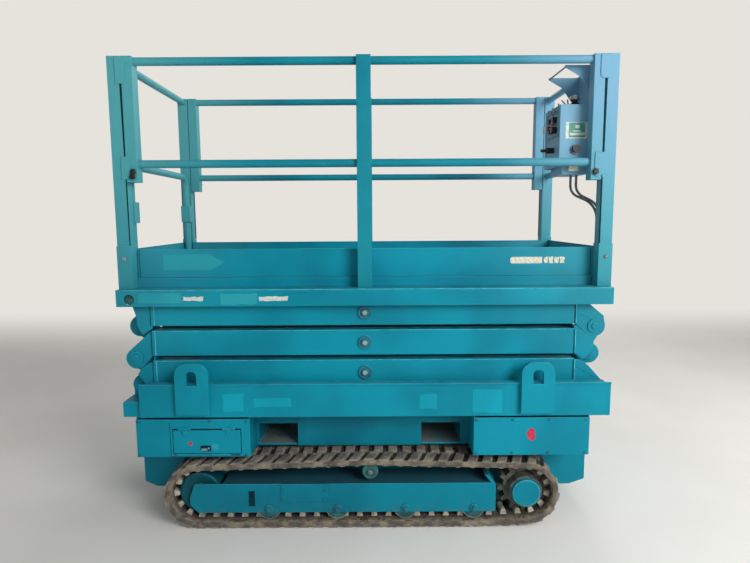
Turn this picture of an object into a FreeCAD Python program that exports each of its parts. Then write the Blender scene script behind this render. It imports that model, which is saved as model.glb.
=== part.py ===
import FreeCAD, Part
import math
import os
import Sketcher

# Tracked scissor lift, in millimetres. +X points to the control end, -Y to the near side, +Z up.
# The origin lies on the ground, at the middle of the scissor stack and of the width.

os.makedirs("parts", exist_ok=True)
doc = FreeCAD.newDocument("scissor_lift")

# Driving dimensions
SIZES = {
    # scissor stack at rest
    "pin_left_x": -1115,
    "pin_span": 2225,
    "base_pin_z": 695,
    "stage_rise": 148,
    "beam_depth": 123,
    "beam_width": 50,
    "beam_setback_left": 78,
    "beam_setback_right": 93,
    "weld_lap": 5,
    "outer_face_y": 480,
    "arm_gap": 10,
    "end_plate": 16,
    "end_radius": 51,
    "head_radius": 36,
    "pin_radius": 25,
    "pin_play": 0.05,
    "side_play": 0.3,
    "boss_radius": 34,
    "boss_height": 6,
    "pin_bolt_radius": 15,
    "pin_bolt_height": 5,
    "cross_tube_radius": 28,
    "cross_tube_inset": 185,
    # lift cylinder, its pins counted from the base pin
    "barrel_pin_dx": 415,
    "barrel_pin_dz": -70,
    "rod_eye_dx": 1100,
    "rod_eye_dz": 200,
    "barrel_radius": 45,
    "gland_length": 36,
    "gland_lip": 4,
    "rod_radius": 22,
    "rod_inside": 50,
    "eye_radius": 38,
    "eye_width": 44,
    "rod_showing": 70,
    "cylinder_pin_radius": 22,
    "ear_plate": 14,
    "ear_play": 5,
    "ear_tube_dx": 125,
    "ear_tube_dz": -125,
    # rollers and their channels
    "roller_radius": 28,
    "roller_width": 31,
    "roller_play": 1,
    "platform_roller_gap": 8,
    "axle_radius": 14,
    "channel_plate": 6,
    "channel_web": 8,
    "channel_inset": 75,
    "channel_overhang": 40,
    # base frame, set out from the scissor's base pins
    "base_inset": 28,
    "base_overhang": 65,
    "base_drop": 128,
    "base_rise": 35,
    "base_side_gap": 65,
    "base_plate": 6,
    "base_rim": 8,
    "step_overhang": 57,
    "step_drop": 56,
    "step_narrower": 15,
    "ear_radius": 40,
    # lifting lugs
    "lug_width": 158,
    "lug_rise": 105,
    "lug_foot": 18,
    "lug_plate": 20,
    "lug_corner": 55,
    "lug_inset_left": 261,
    "lug_inset_right": 355,
    "lug_slot_width": 50,
    "lug_slot_height": 70,
    # hull between the tracks
    "hull_overhang": 86,
    "hull_inset": 27,
    "ground_clearance": 112,
    "hull_end_rise": 28,
    "hull_slope_left": 64,
    "hull_slope_right": 79,
    "hull_side_gap": 20,
    # boxes above the tracks
    "box_height": 202,
    "box_overhang": 24,
    "left_box_length": 549,
    "box_inset": 93,
    "right_box_length": 560,
    "box_narrower": 13,
    "box_wall": 5,
    "cover_plate": 8,
    "cover_top_gap": 12,
    "cover_low_gap": 2,
    "door_inset": 173,
    "door_length": 334,
    "door_low_margin": 14,
    "door_top_margin": 47,
    "door_gap": 4,
    "door_hinge_radius": 5,
    "door_hinge_inset": 60,
    "door_knuckle": 20,
    "door_strap": 20,
    "latch_width": 46,
    "latch_height": 18,
    "latch_depth": 5,
    "latch_inset": 172,
    "latch_rise": 21,
    # fork pockets
    "pocket_inset_left": 13,
    "pocket_inset_right": 43,
    "pocket_width": 200,
    "pocket_height": 106,
    "pocket_floor": 9,
    "pocket_half_width": 400,
    "pocket_front": 8,
    # power pack and battery
    "pack_length": 300,
    "pack_height": 120,
    "pack_half_width": 372,
    "battery_length": 460,
    "battery_height": 150,
    "battery_half_width": 430,
    # tracks
    "track_inner_y": 350,
    "track_width": 200,
    "belt_thickness": 20,
    "belt_facet": 37,
    "belt_lug_height": 14,
    "belt_lug_length": 44,
    "belt_lug_top": 36,
    "belt_lug_width": 92,
    "belt_lug_skew": 30,
    "belt_lug_inset": 3,
    "belt_lug_root": 6,
    "link_count": 57,
    "guide_tooth_height": 27,
    "guide_tooth_length": 26,
    "guide_tooth_width": 100,
    "guide_tooth_root": 2,
    "idler_x": -826,
    "idler_wrap_radius": 131,
    "tooth_tip_play": 3,
    "wheel_base": 1610,
    "sprocket_rise": 7,
    "sprocket_wrap_radius": 128,
    "bottom_roller_radius": 58,
    "bottom_roller_offset": 344,
    "bottom_roller_pitch": 337,
    "roller_middle_radius": 24,
    "carrier_offset": 845,
    "carrier_rise": 116,
    "carrier_radius": 40,
    "carrier_pin_radius": 9,
    "rim_width": 18,
    "rim_gap": 107,
    "wheel_play": 0.3,
    # track frames
    "frame_overhang": 44,
    "frame_drive_gap": 165,
    "frame_drop": 20,
    "frame_depth": 148,
    "frame_half_width": 80,
    "frame_plate": 8,
    "nose_low_x": 39,
    "nose_low_z": 42,
    "nose_top_x": 24,
    "nose_top_z": 70,
    "roller_room": 7,
    "axle_head": 10,
    "slot_offset": 251,
    "slot_width": 20,
    "slot_floor": 35,
    "slot_height": 78,
    "end_plate_width": 18,
    "end_plate_bend": 7,
    "end_plate_lean": 37,
    "end_plate_rise": 48,
    "frame_cover_offset": 61,
    "frame_cover_length": 226,
    "frame_cover_depth": 92,
    "frame_cover_plate": 4,
    "frame_arm_width": 90,
    "frame_arm_left": 300,
    "frame_arm_right": 260,
    "frame_arm_depth": 68,
    "frame_arm_drop": 20,
    # drive wheels
    "drum_radius": 80,
    "hub_cover_radius": 65,
    "hub_cover": 15,
    "sprocket_plate_radius": 100,
    "sprocket_width": 50,
    "sprocket_tooth_reach": 26,
    "sprocket_tooth_base": 26,
    "sprocket_tooth_tip": 20,
    "sprocket_tooth_root": 4,
    "sprocket_teeth": 12,
    # platform, set out from the scissor's top pins
    "deck_overhang_left": 61,
    "deck_overhang_right": 66,
    "deck_drop": 34,
    "deck_rise": 46,
    "deck_side_gap": 50,
    "deck_plate": 5,
    "tread_plate": 4,
    "deck_rib_height": 35,
    "deck_rib_plate": 8,
    "deck_rib_pitch": 400,
    "access_hole_radius": 24,
    "post_size": 60,
    "post_setback": 47,
    "post_height": 1075,
    "post_gap": 4,
    "socket_wall": 3,
    "socket_height": 205,
    "member_width": 50,
    "member_length": 570,
    "rail_radius": 19,
    "mid_rail_height": 590,
    "centre_post_size": 68,
    "strap_plate": 4,
    "strap_reach": 54,
    "strap_lap": 40,
    "strap_corner": 16,
    "top_strap_below": 90,
    "top_strap_above": 14,
    "mid_strap_below": 73,
    "mid_strap_above": 40,
    "latch_knob_radius": 13,
    "latch_knob_length": 26,
    "latch_knob_rise": 26,
    "toe_height": 185,
    "toe_step_height": 45,
    "toe_setback": 2,
    "toe_step": 8,
    "toe_plate": 3,
    "toe_fold": 6,
    # entry bar
    "entry_bar_inset": 39.3,
    "entry_leg_gap": 29,
    "entry_bend_radius": 60,
    "entry_leg_foot": 10,
    "entry_sleeve_rise": 314,
    "entry_sleeve_length": 100,
    "entry_sleeve_wall": 8,
    # control box
    "control_setback": 81,
    "control_depth": 156,
    "control_near_gap": 83,
    "control_width": 230,
    "control_drop": 15,
    "control_height": 290,
    "panel_recess": 4,
    "panel_margin": 18,
    "panel_low_margin": 22,
    "gland_box_depth": 38,
    "gland_front": 22,
    "gland_back": 12,
    "gland_near": 20,
    "gland_far": 40,
    "bracket_margin": 20,
    "bracket_below": 30,
    "bracket_above": 140,
    "bracket_pad_margin": 40,
    "bracket_pad_width": 30,
    "hood_sheet": 2.5,
    "hood_rise": 178,
    "hood_tip_inset": 12,
    "hood_play": 5,
    "hood_hinge_radius": 6,
    "hood_pin_radius": 3,
    "hood_knuckle": 14,
    "hood_lip_depth": 10,
    "hood_cheek_low_x": 70,
    "hood_cheek_low_z": 50,
    "side_knob_x": 75,
    "side_knob_z": 81,
    "side_knob_radius": 17,
    "side_knob_length": 20,
    # control cables: where each leaves the gland box and how it comes down the corner post
    "cable_radius": 6,
    "cable_drop": 88,
    "cable_fall": 62,
    "cable_bend_share": 0.45,
}


class Size:
    """A length that knows its value and the expression that gives it from the sheet."""

    def __init__(self, value, text):
        self.value = value
        self.text = text

    def __add__(self, other):
        other = as_size(other)
        return Size(self.value + other.value, f"({self.text} + {other.text})")

    def __sub__(self, other):
        other = as_size(other)
        return Size(self.value - other.value, f"({self.text} - {other.text})")

    def __mul__(self, other):
        other = as_size(other)
        return Size(self.value * other.value, f"({self.text} * {other.text})")

    def __truediv__(self, other):
        other = as_size(other)
        return Size(self.value / other.value, f"({self.text} / {other.text})")

    def __radd__(self, other):
        return as_size(other) + self

    def __rsub__(self, other):
        return as_size(other) - self

    def __rmul__(self, other):
        return as_size(other) * self

    def __neg__(self):
        return Size(-self.value, f"(0 - {self.text})")

    def root(self):
        return Size(math.sqrt(self.value), f"sqrt({self.text})")


def as_size(value):
    if isinstance(value, Size):
        return value
    return Size(value, f"({value!r})")


class Sizes:
    """The sheet's cells by name."""

    def __getattr__(self, name):
        return Size(SIZES[name], f"sizes.{name}")


def fill_sheet():
    sheet = doc.addObject("Spreadsheet::Sheet", "sizes")
    for row, (name, value) in enumerate(SIZES.items(), start=1):
        sheet.set(f"A{row}", name)
        sheet.set(f"B{row}", str(value))
        sheet.setAlias(f"B{row}", name)
    return sheet


fill_sheet()
doc.recompute()
S = Sizes()
NODES = []
CABLES = []


def bind(thing, prop, size):
    size = as_size(size)
    thing.setExpression(prop, size.text)


def place(thing, x, y, z):
    bind(thing, "Placement.Base.x", x)
    bind(thing, "Placement.Base.y", y)
    bind(thing, "Placement.Base.z", z)


def box(name, x, y, z, dx, dy, dz):
    """A block from its low corner and its three lengths."""
    thing = doc.addObject("Part::Box", name)
    bind(thing, "Length", dx)
    bind(thing, "Width", dy)
    bind(thing, "Height", dz)
    place(thing, x, y, z)
    return thing


def span(name, x, y, z):
    """A block from its low and high bounds along each axis."""
    return box(name, x[0], y[0], z[0], as_size(x[1]) - x[0], as_size(y[1]) - y[0], as_size(z[1]) - z[0])


TURNS = {
    "x": FreeCAD.Rotation(FreeCAD.Vector(0, 1, 0), 90),
    "y": FreeCAD.Rotation(FreeCAD.Vector(1, 0, 0), -90),
    "z": FreeCAD.Rotation(),
}


def rod(name, axis, x, y, z, radius, length):
    """A round bar from the middle of its low end."""
    thing = doc.addObject("Part::Cylinder", name)
    bind(thing, "Radius", radius)
    bind(thing, "Height", length)
    thing.Placement = FreeCAD.Placement(FreeCAD.Vector(), TURNS[axis])
    place(thing, x, y, z)
    return thing


def fuse(name, pieces):
    thing = doc.addObject("Part::MultiFuse", name)
    thing.Shapes = pieces
    return thing


def cut(name, base, tools):
    tool = tools[0]
    if len(tools) > 1:
        tool = fuse(name + "_tools", tools)
    thing = doc.addObject("Part::Cut", name)
    thing.Base = base
    thing.Tool = tool
    return thing


def mirror(name, source):
    """The piece's mirror image across the machine's middle plane."""
    thing = doc.addObject("Part::Mirroring", name)
    thing.Source = source
    thing.Normal = FreeCAD.Vector(0, 1, 0)
    thing.Base = FreeCAD.Vector()
    return thing


def group(name, pieces):
    thing = doc.addObject("Part::Compound", name)
    thing.Links = pieces
    return thing


def both_sides(name, near):
    """The near piece and its mirror image on the far side."""
    return group(name, [near, mirror(name + "_far", near)])


def node(thing, label):
    thing.Label = label
    NODES.append(thing)
    return thing


PLANES = {"xz": "XZ_Plane", "yz": "YZ_Plane", "xy": "XY_Plane"}


def new_body(name):
    return doc.addObject("PartDesign::Body", name)


def new_sketch(body, plane, offset):
    """An empty sketch parallel to one of the body's own planes."""
    sketch = body.newObject("Sketcher::SketchObject", body.Name + "_sketch")
    home = [f for f in body.Origin.OriginFeatures if f.Role == PLANES[plane]][0]
    sketch.AttachmentSupport = [(home, "")]
    sketch.MapMode = "FlatFace"
    bind(sketch, "AttachmentOffset.Base.z", offset)
    return sketch


def fix_point(sketch, item, end, x, y):
    for kind, size in (("DistanceX", as_size(x)), ("DistanceY", as_size(y))):
        index = sketch.addConstraint(Sketcher.Constraint(kind, -1, 1, item, end, size.value))
        sketch.setExpression(f"Constraints[{index}]", size.text)


def draw_outline(sketch, corners):
    """A closed outline of straight edges with each corner set out from the origin."""
    points = [FreeCAD.Vector(as_size(x).value, as_size(y).value, 0) for x, y in corners]
    count = len(points)
    first = sketch.GeometryCount
    for i in range(count):
        sketch.addGeometry(Part.LineSegment(points[i], points[(i + 1) % count]), False)
    for i, (x, y) in enumerate(corners):
        fix_point(sketch, first + i, 1, x, y)
        sketch.addConstraint(Sketcher.Constraint("Coincident", first + i, 2, first + (i + 1) % count, 1))


def pad(body, sketch, length):
    feature = body.newObject("PartDesign::Pad", body.Name + "_pad")
    feature.Profile = sketch
    bind(feature, "Length", length)
    return feature


def fillet(body, feature, picks, radius):
    """Rounds the edges whose middles lie at the picked points."""
    doc.recompute()
    names = []
    for i, edge in enumerate(feature.Shape.Edges, start=1):
        middle = edge.valueAt((edge.FirstParameter + edge.LastParameter) / 2)
        if any((middle - FreeCAD.Vector(*p)).Length < 0.5 for p in picks):
            names.append(f"Edge{i}")
    if len(names) != len(picks):
        raise ValueError(f"{body.Name}: {len(names)} of {len(picks)} edges found to round")
    rounding = body.newObject("PartDesign::Fillet", body.Name + "_fillet")
    rounding.Base = (feature, names)
    bind(rounding, "Radius", radius)
    return rounding


def slab(name, plane, offset, thickness, corners):
    """A flat piece: an outline drawn on a plane and padded along the plane's own normal."""
    body = new_body(name)
    sketch = new_sketch(body, plane, offset)
    draw_outline(sketch, corners)
    pad(body, sketch, thickness)
    return body


def xz_slab(name, low_y, thickness, corners):
    """A flat piece from low_y towards +Y, with its outline in X and Z."""
    return slab(name, "xz", -(as_size(low_y) + thickness), thickness, corners)


def tangent_point(px, pz, cx, cz, radius, side):
    """Where a line from a point touches a circle; side is 1 or -1."""
    dx = as_size(px) - cx
    dz = as_size(pz) - cz
    far = dx * dx + dz * dz
    along = radius * radius / far
    across = radius / far * (far - radius * radius).root() * side
    return cx + along * dx - across * dz, cz + along * dz + across * dx


# Places that several pieces share
pin_right_x = S.pin_left_x + S.pin_span
centre_x = S.pin_left_x + S.pin_span / 2
beam_left_x = S.pin_left_x + S.beam_setback_left
beam_right_x = pin_right_x - S.beam_setback_right
inner_face_y = S.outer_face_y - S.beam_width - S.arm_gap
platform_pin_z = S.base_pin_z + S.stage_rise * 3
bore_radius = S.pin_radius + S.pin_play
axle_bore = S.axle_radius + S.pin_play
channel_left_x = S.pin_left_x + S.channel_inset
channel_right_x = pin_right_x + S.channel_overhang

# Base
base_left_x = S.pin_left_x + S.base_inset
base_right_x = pin_right_x + S.base_overhang
base_bottom_z = S.base_pin_z - S.base_drop
base_top_z = S.base_pin_z + S.base_rise
base_face_y = S.outer_face_y + S.base_side_gap
step_top_z = S.base_pin_z - S.step_drop
hull_top_z = base_bottom_z - S.box_height
hull_half_width = S.track_inner_y - S.hull_side_gap
box_half_width = base_face_y - S.box_narrower
left_box_x = base_left_x - S.box_overhang
left_box_end_x = left_box_x + S.left_box_length
right_box_end_x = base_right_x - S.box_inset
right_box_x = right_box_end_x - S.right_box_length
door_left_x = left_box_x + S.door_inset
door_right_x = door_left_x + S.door_length

# Running gear
track_middle_y = S.track_inner_y + S.track_width / 2
belt_middle = S.wheel_play + S.belt_thickness / 2
ground_to_wheel = S.wheel_play + S.belt_thickness + S.belt_lug_height
idler_z = ground_to_wheel + S.idler_wrap_radius
roller_z = ground_to_wheel + S.bottom_roller_radius
first_roller_x = S.idler_x + S.bottom_roller_offset
last_roller_x = first_roller_x + S.bottom_roller_pitch * 3
sprocket_x = S.idler_x + S.wheel_base
sprocket_z = idler_z + S.sprocket_rise
carrier_x = S.idler_x + S.carrier_offset
carrier_z = idler_z + S.carrier_rise
frame_near_y = -(track_middle_y + S.frame_half_width)

# Platform
deck_left_x = S.pin_left_x - S.deck_overhang_left
deck_right_x = pin_right_x + S.deck_overhang_right
deck_bottom_z = platform_pin_z - S.deck_drop
deck_top_z = platform_pin_z + S.deck_rise
deck_half_width = S.outer_face_y + S.deck_side_gap
post_face_y = deck_half_width - S.post_setback
post_top_z = deck_top_z + S.post_height
socket_top_z = deck_top_z + S.socket_height
top_rail_z = post_top_z - S.rail_radius
mid_rail_z = deck_top_z + S.mid_rail_height
member_bottom_z = post_top_z - S.member_length
toe_top_z = deck_top_z + S.toe_height
rail_y = post_face_y - S.post_size / 2
toe_face_y = rail_y - S.centre_post_size / 2 - S.side_play
control_right_x = deck_right_x - S.control_setback
control_left_x = control_right_x - S.control_depth
control_near_y = -(post_face_y - S.control_near_gap)
control_far_y = control_near_y + S.control_width
control_bottom_z = mid_rail_z - S.control_drop
control_top_z = control_bottom_z + S.control_height
gland_bottom_z = control_bottom_z - S.gland_box_depth


def pin_z(level):
    return S.base_pin_z + S.stage_rise * level


def stage_z(stage):
    return S.base_pin_z + S.stage_rise * (stage - 0.5)


def arm_end(name, face, layer, beam_x, side, pin_x, pin_height, middle_z, radius):
    """The plate at one end of an arm: its edges run from the beam's corners to the round eye.

    layer is 0 for the plate in the arm's outer face and 1 for the one in its inner face.
    """
    low_y = -face if layer == 0 else -(face - S.beam_width + S.end_plate)
    top = middle_z + S.beam_depth / 2
    bottom = middle_z - S.beam_depth / 2
    weld = S.weld_lap * side
    high_x, high_z = tangent_point(beam_x, top, pin_x, pin_height, radius, side)
    low_x, low_z = tangent_point(beam_x, bottom, pin_x, pin_height, radius, -side)
    corners = [
        (beam_x + weld, top), (beam_x, top), (high_x, high_z),
        (low_x, low_z), (beam_x, bottom), (beam_x + weld, bottom),
    ]
    web = xz_slab(name + "_web", low_y, S.end_plate, corners)
    eye = rod(name + "_eye", "y", pin_x, low_y, pin_height, radius, S.end_plate)
    return [web, eye]


def arm_pair(label, face, stage, low_left, high_radius):
    """One rigid pair of arms: the near arm's pieces, to be fused and mirrored by the caller."""
    middle_z = stage_z(stage)
    low_x = S.pin_left_x if low_left else pin_right_x
    high_x = pin_right_x if low_left else S.pin_left_x
    low_beam = beam_left_x if low_left else beam_right_x
    high_beam = beam_right_x if low_left else beam_left_x
    low_side = 1 if low_left else -1
    beam = span(
        label + "_beam", (beam_left_x, beam_right_x), (-face, -face + S.beam_width),
        (middle_z - S.beam_depth / 2, middle_z + S.beam_depth / 2),
    )
    pieces = [beam]
    pieces += arm_end(label + "_low", face, 0, low_beam, low_side, low_x, pin_z(stage - 1), middle_z, S.end_radius)
    pieces += arm_end(label + "_high", face, 1, high_beam, -low_side, high_x, pin_z(stage), middle_z, high_radius)
    return pieces


def spacer(name, face, x, z):
    """The collar on an inner-face end plate that fills the space to the plate in front."""
    low_y = -(face - S.end_plate - S.side_play)
    return rod(name, "y", x, low_y, z, S.boss_radius, S.beam_width - S.end_plate * 2 - S.side_play + 1)


def cross_tube(name, x, z, half):
    return rod(name, "y", x, -half, z, S.cross_tube_radius, half * 2)


def capped_pin(name, x, z, low_y, length):
    """A pin with its head plate at the low end and a bolt in the middle of the head."""
    head_y = low_y - S.boss_height
    return [
        rod(name, "y", x, low_y, z, S.pin_radius, length),
        rod(name + "_head", "y", x, head_y, z, S.boss_radius, S.boss_height - S.side_play),
        rod(name + "_bolt", "y", x, head_y - S.pin_bolt_height, z, S.pin_bolt_radius, S.boss_height + S.pin_bolt_height),
        rod(name + "_neck", "y", x, head_y, z, S.pin_radius, S.boss_height + 1),
    ]


def make_outer_arms():
    """The outer arms carry the centre pins and, at their high ends, the long pins of the full width."""
    face = S.outer_face_y
    for stage in (1, 2, 3):
        label = f"outer_arms_{stage}"
        low_left = stage == 2
        high_radius = S.head_radius if stage == 3 else S.end_radius
        pieces = arm_pair(label, face, stage, low_left, high_radius)
        high_x = pin_right_x if low_left else S.pin_left_x
        low_x = S.pin_left_x if low_left else pin_right_x
        centre_z = stage_z(stage)
        washer_y = -(inner_face_y - S.beam_width) + S.side_play
        centre_low = -face - S.boss_height
        pieces += [
            rod(label + "_boss", "y", centre_x, centre_low, centre_z, S.boss_radius, S.boss_height + 1),
            rod(label + "_bolt", "y", centre_x, centre_low - S.pin_bolt_height, centre_z,
                S.pin_bolt_radius, S.pin_bolt_height + 1),
            rod(label + "_centre_pin", "y", centre_x, -face + S.beam_width - 1, centre_z, S.pin_radius,
                S.arm_gap + S.beam_width + S.boss_height + 1 + S.side_play),
            rod(label + "_collar", "y", centre_x, -face + S.beam_width - 1, centre_z, S.boss_radius,
                S.arm_gap + 1 - S.side_play),
            rod(label + "_washer", "y", centre_x, washer_y, centre_z, S.boss_radius, S.boss_height),
        ]
        if stage < 3:
            pieces += capped_pin(label + "_pin", high_x, pin_z(stage), -face, S.beam_width)
            pieces.append(spacer(label + "_spacer", face, high_x, pin_z(stage)))
        near = fuse(label + "_near", pieces)
        bore = axle_bore if stage == 1 else bore_radius
        hole = rod(label + "_bore", "y", low_x, -face - 1, pin_z(stage - 1), bore, S.end_plate + 2)
        near = cut(label + "_near_bored", near, [hole])
        shaft_half = face - S.beam_width + (0 if stage < 3 else S.beam_width - 3)
        shaft = rod(label + "_shaft", "y", high_x, -shaft_half, pin_z(stage), S.pin_radius, shaft_half * 2)
        node(fuse(label, [near, mirror(label + "_far", near), shaft]), label)


def make_inner_arms():
    """The inner arms are held together by cross tubes and turn on the outer arms' centre pins."""
    face = inner_face_y
    tube_half = face - S.beam_width + 2
    for stage in (1, 2, 3):
        label = f"inner_arms_{stage}"
        low_left = stage != 2
        high_radius = S.head_radius if stage == 3 else S.end_radius
        pieces = arm_pair(label, face, stage, low_left, high_radius)
        high_x = pin_right_x if low_left else S.pin_left_x
        low_x = S.pin_left_x if low_left else pin_right_x
        if stage < 3:
            pieces += capped_pin(label + "_pin", high_x, pin_z(stage), -face, S.beam_width)
            pieces.append(spacer(label + "_spacer", face, high_x, pin_z(stage)))
        if stage == 1:
            stub_half = S.end_plate / 2 + S.side_play + S.ear_plate
            pieces.append(rod(label + "_base_pin", "y", low_x, -face + S.end_plate / 2 - stub_half, pin_z(0),
                              S.pin_radius, stub_half * 2))
        near = fuse(label + "_near", pieces)
        bores = [rod(label + "_centre_bore", "y", centre_x, -face - 1, stage_z(stage), bore_radius, S.beam_width + 2)]
        if stage > 1:
            bores.append(rod(label + "_bore", "y", low_x, -face - 1, pin_z(stage - 1), bore_radius, S.end_plate + 2))
        if stage == 3:
            bores.append(rod(label + "_axle_bore", "y", high_x, -(face - S.beam_width + S.end_plate) - 1, pin_z(3),
                             axle_bore, S.end_plate + 2))
        near = cut(label + "_near_bored", near, bores)
        whole = [near, mirror(label + "_far", near)]
        for side, x in (("left", beam_left_x + S.cross_tube_inset), ("right", beam_right_x - S.cross_tube_inset)):
            whole.append(cross_tube(f"{label}_tube_{side}", x, stage_z(stage), tube_half))
        if stage == 1:
            whole += rod_ears(label, tube_half)
        node(fuse(label, whole), label)


# Rollers: the lower pair runs outside the arms, the upper pair inside them
base_roller_y = base_face_y - S.base_plate - S.channel_web - S.roller_play * 2 - S.roller_width / 2
platform_roller_y = inner_face_y - S.beam_width - S.platform_roller_gap - S.roller_width / 2

# Lift cylinder pins
barrel_pin_x = S.pin_left_x + S.barrel_pin_dx
barrel_pin_z = S.base_pin_z + S.barrel_pin_dz
rod_eye_x = S.pin_left_x + S.rod_eye_dx
rod_eye_z = S.base_pin_z + S.rod_eye_dz


def rod_ears(label, tube_half):
    """The two ears that take the rod's eye, on a cross tube of their own."""
    tube_x = rod_eye_x + S.ear_tube_dx
    tube_z = rod_eye_z + S.ear_tube_dz
    radius = S.eye_radius
    across = (S.ear_tube_dx * S.ear_tube_dx + S.ear_tube_dz * S.ear_tube_dz).root()
    off_x = radius * S.ear_tube_dz / across
    off_z = radius * S.ear_tube_dx / across
    near_y = S.eye_width / 2 + S.ear_play
    pieces = [cross_tube(label + "_ear_tube", tube_x, tube_z, tube_half)]
    for side, low_y in (("near", -(near_y + S.ear_plate)), ("far", near_y)):
        corners = [
            (rod_eye_x - off_x, rod_eye_z + off_z), (rod_eye_x + off_x, rod_eye_z - off_z),
            (tube_x + off_x, tube_z - off_z), (tube_x - off_x, tube_z + off_z),
        ]
        name = f"{label}_ear_{side}"
        pieces.append(xz_slab(name, low_y, S.ear_plate, corners))
        pieces.append(rod(name + "_eye", "y", rod_eye_x, low_y, rod_eye_z, radius, S.ear_plate))
        pieces.append(rod(name + "_foot", "y", tube_x, low_y, tube_z, radius, S.ear_plate))
    return pieces


def make_cylinder():
    """The lift cylinder: a barrel on the base and a rod that reaches the first pair of inner arms."""
    dx = S.rod_eye_dx - S.barrel_pin_dx
    dz = S.rod_eye_dz - S.barrel_pin_dz
    length = (dx * dx + dz * dz).root()
    angle = math.degrees(math.atan2(dz.value, dx.value))
    start = S.eye_radius + S.ear_plate
    barrel_end = length - S.rod_showing - S.eye_radius
    along = FreeCAD.Rotation(FreeCAD.Vector(0, 1, 0), 90)
    tilt = FreeCAD.Rotation(FreeCAD.Vector(0, 1, 0), -angle)

    def bar(name, first, last, radius):
        thing = doc.addObject("Part::Cylinder", name)
        bind(thing, "Radius", radius)
        bind(thing, "Height", as_size(last) - first)
        thing.Placement = FreeCAD.Placement(FreeCAD.Vector(), tilt * along)
        place(thing, barrel_pin_x + dx / length * first, as_size(0), barrel_pin_z + dz / length * first)
        return thing

    eye = rod("barrel_eye", "y", barrel_pin_x, -S.eye_width / 2, barrel_pin_z, S.eye_radius, S.eye_width)
    pin_half = S.eye_width / 2 + S.ear_play + S.ear_plate
    pin = rod("barrel_pin", "y", barrel_pin_x, -pin_half, barrel_pin_z, S.cylinder_pin_radius, pin_half * 2)
    neck = bar("barrel_neck", S.eye_radius - 8, start + 4, S.eye_width / 2)
    tube = bar("barrel_tube", start, barrel_end, S.barrel_radius)
    gland = bar("barrel_gland", barrel_end - S.gland_length, barrel_end, S.barrel_radius + S.gland_lip)
    shell = fuse("barrel_solid", [eye, pin, neck, tube, gland])
    bore = bar("barrel_bore", barrel_end - S.rod_inside * 1.2, barrel_end + 10, S.rod_radius + S.pin_play)
    node(cut("cylinder_barrel", shell, [bore]), "cylinder_barrel")
    rod_eye = rod("rod_eye", "y", rod_eye_x, -S.eye_width / 2, rod_eye_z, S.eye_radius, S.eye_width)
    stem = bar("rod_stem", barrel_end - S.rod_inside, length, S.rod_radius)
    eye_hole = rod("rod_eye_hole", "y", rod_eye_x, -S.eye_width, rod_eye_z, S.cylinder_pin_radius, S.eye_width * 2)
    node(cut("cylinder_rod", fuse("rod_solid", [rod_eye, stem]), [eye_hole]), "cylinder_rod")


def make_rollers():
    """The pairs of rollers at the scissor's free ends, each roller on an axle that turns in its arm's end plate."""
    outer_plate = -(S.outer_face_y - S.end_plate)
    inner_plate = -(inner_face_y - S.beam_width + S.end_plate)
    base_low = -(base_roller_y + S.roller_width / 2)
    platform_low = -(platform_roller_y + S.roller_width / 2)
    for label, z, low_y, axle_low, axle_high in (
        ("base_rollers", pin_z(0), base_low, base_low, outer_plate),
        ("platform_rollers", pin_z(3), platform_low, inner_plate, platform_low + S.roller_width),
    ):
        wheel = rod(label + "_wheel", "y", pin_right_x, low_y, z, S.roller_radius, S.roller_width)
        axle = rod(label + "_axle", "y", pin_right_x, axle_low, z, S.axle_radius, axle_high - axle_low)
        node(both_sides(label, fuse(label + "_near", [wheel, axle])), label)


def channel(name, web_y, lip_y, z, out):
    """A C channel along X: its web at web_y, its flanges reaching to lip_y; out is 1 when the web is outermost."""
    half = S.roller_radius + S.roller_play
    left, right = channel_left_x, channel_right_x
    low_web = -(web_y + S.channel_web) if out == 1 else -web_y
    high_web = -web_y if out == 1 else -(web_y - S.channel_web)
    low_y, high_y = (-web_y - S.channel_web, -lip_y) if out == 1 else (-lip_y, -(web_y - S.channel_web))
    bottom = z - half - S.channel_plate
    return fuse(name, [
        span(name + "_web", (left, right), (low_web, high_web), (bottom, z + half + S.channel_plate)),
        span(name + "_low", (left, right), (low_y, high_y), (bottom, z - half)),
        span(name + "_high", (left, right), (low_y, high_y), (z + half, z + half + S.channel_plate)),
    ])


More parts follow.
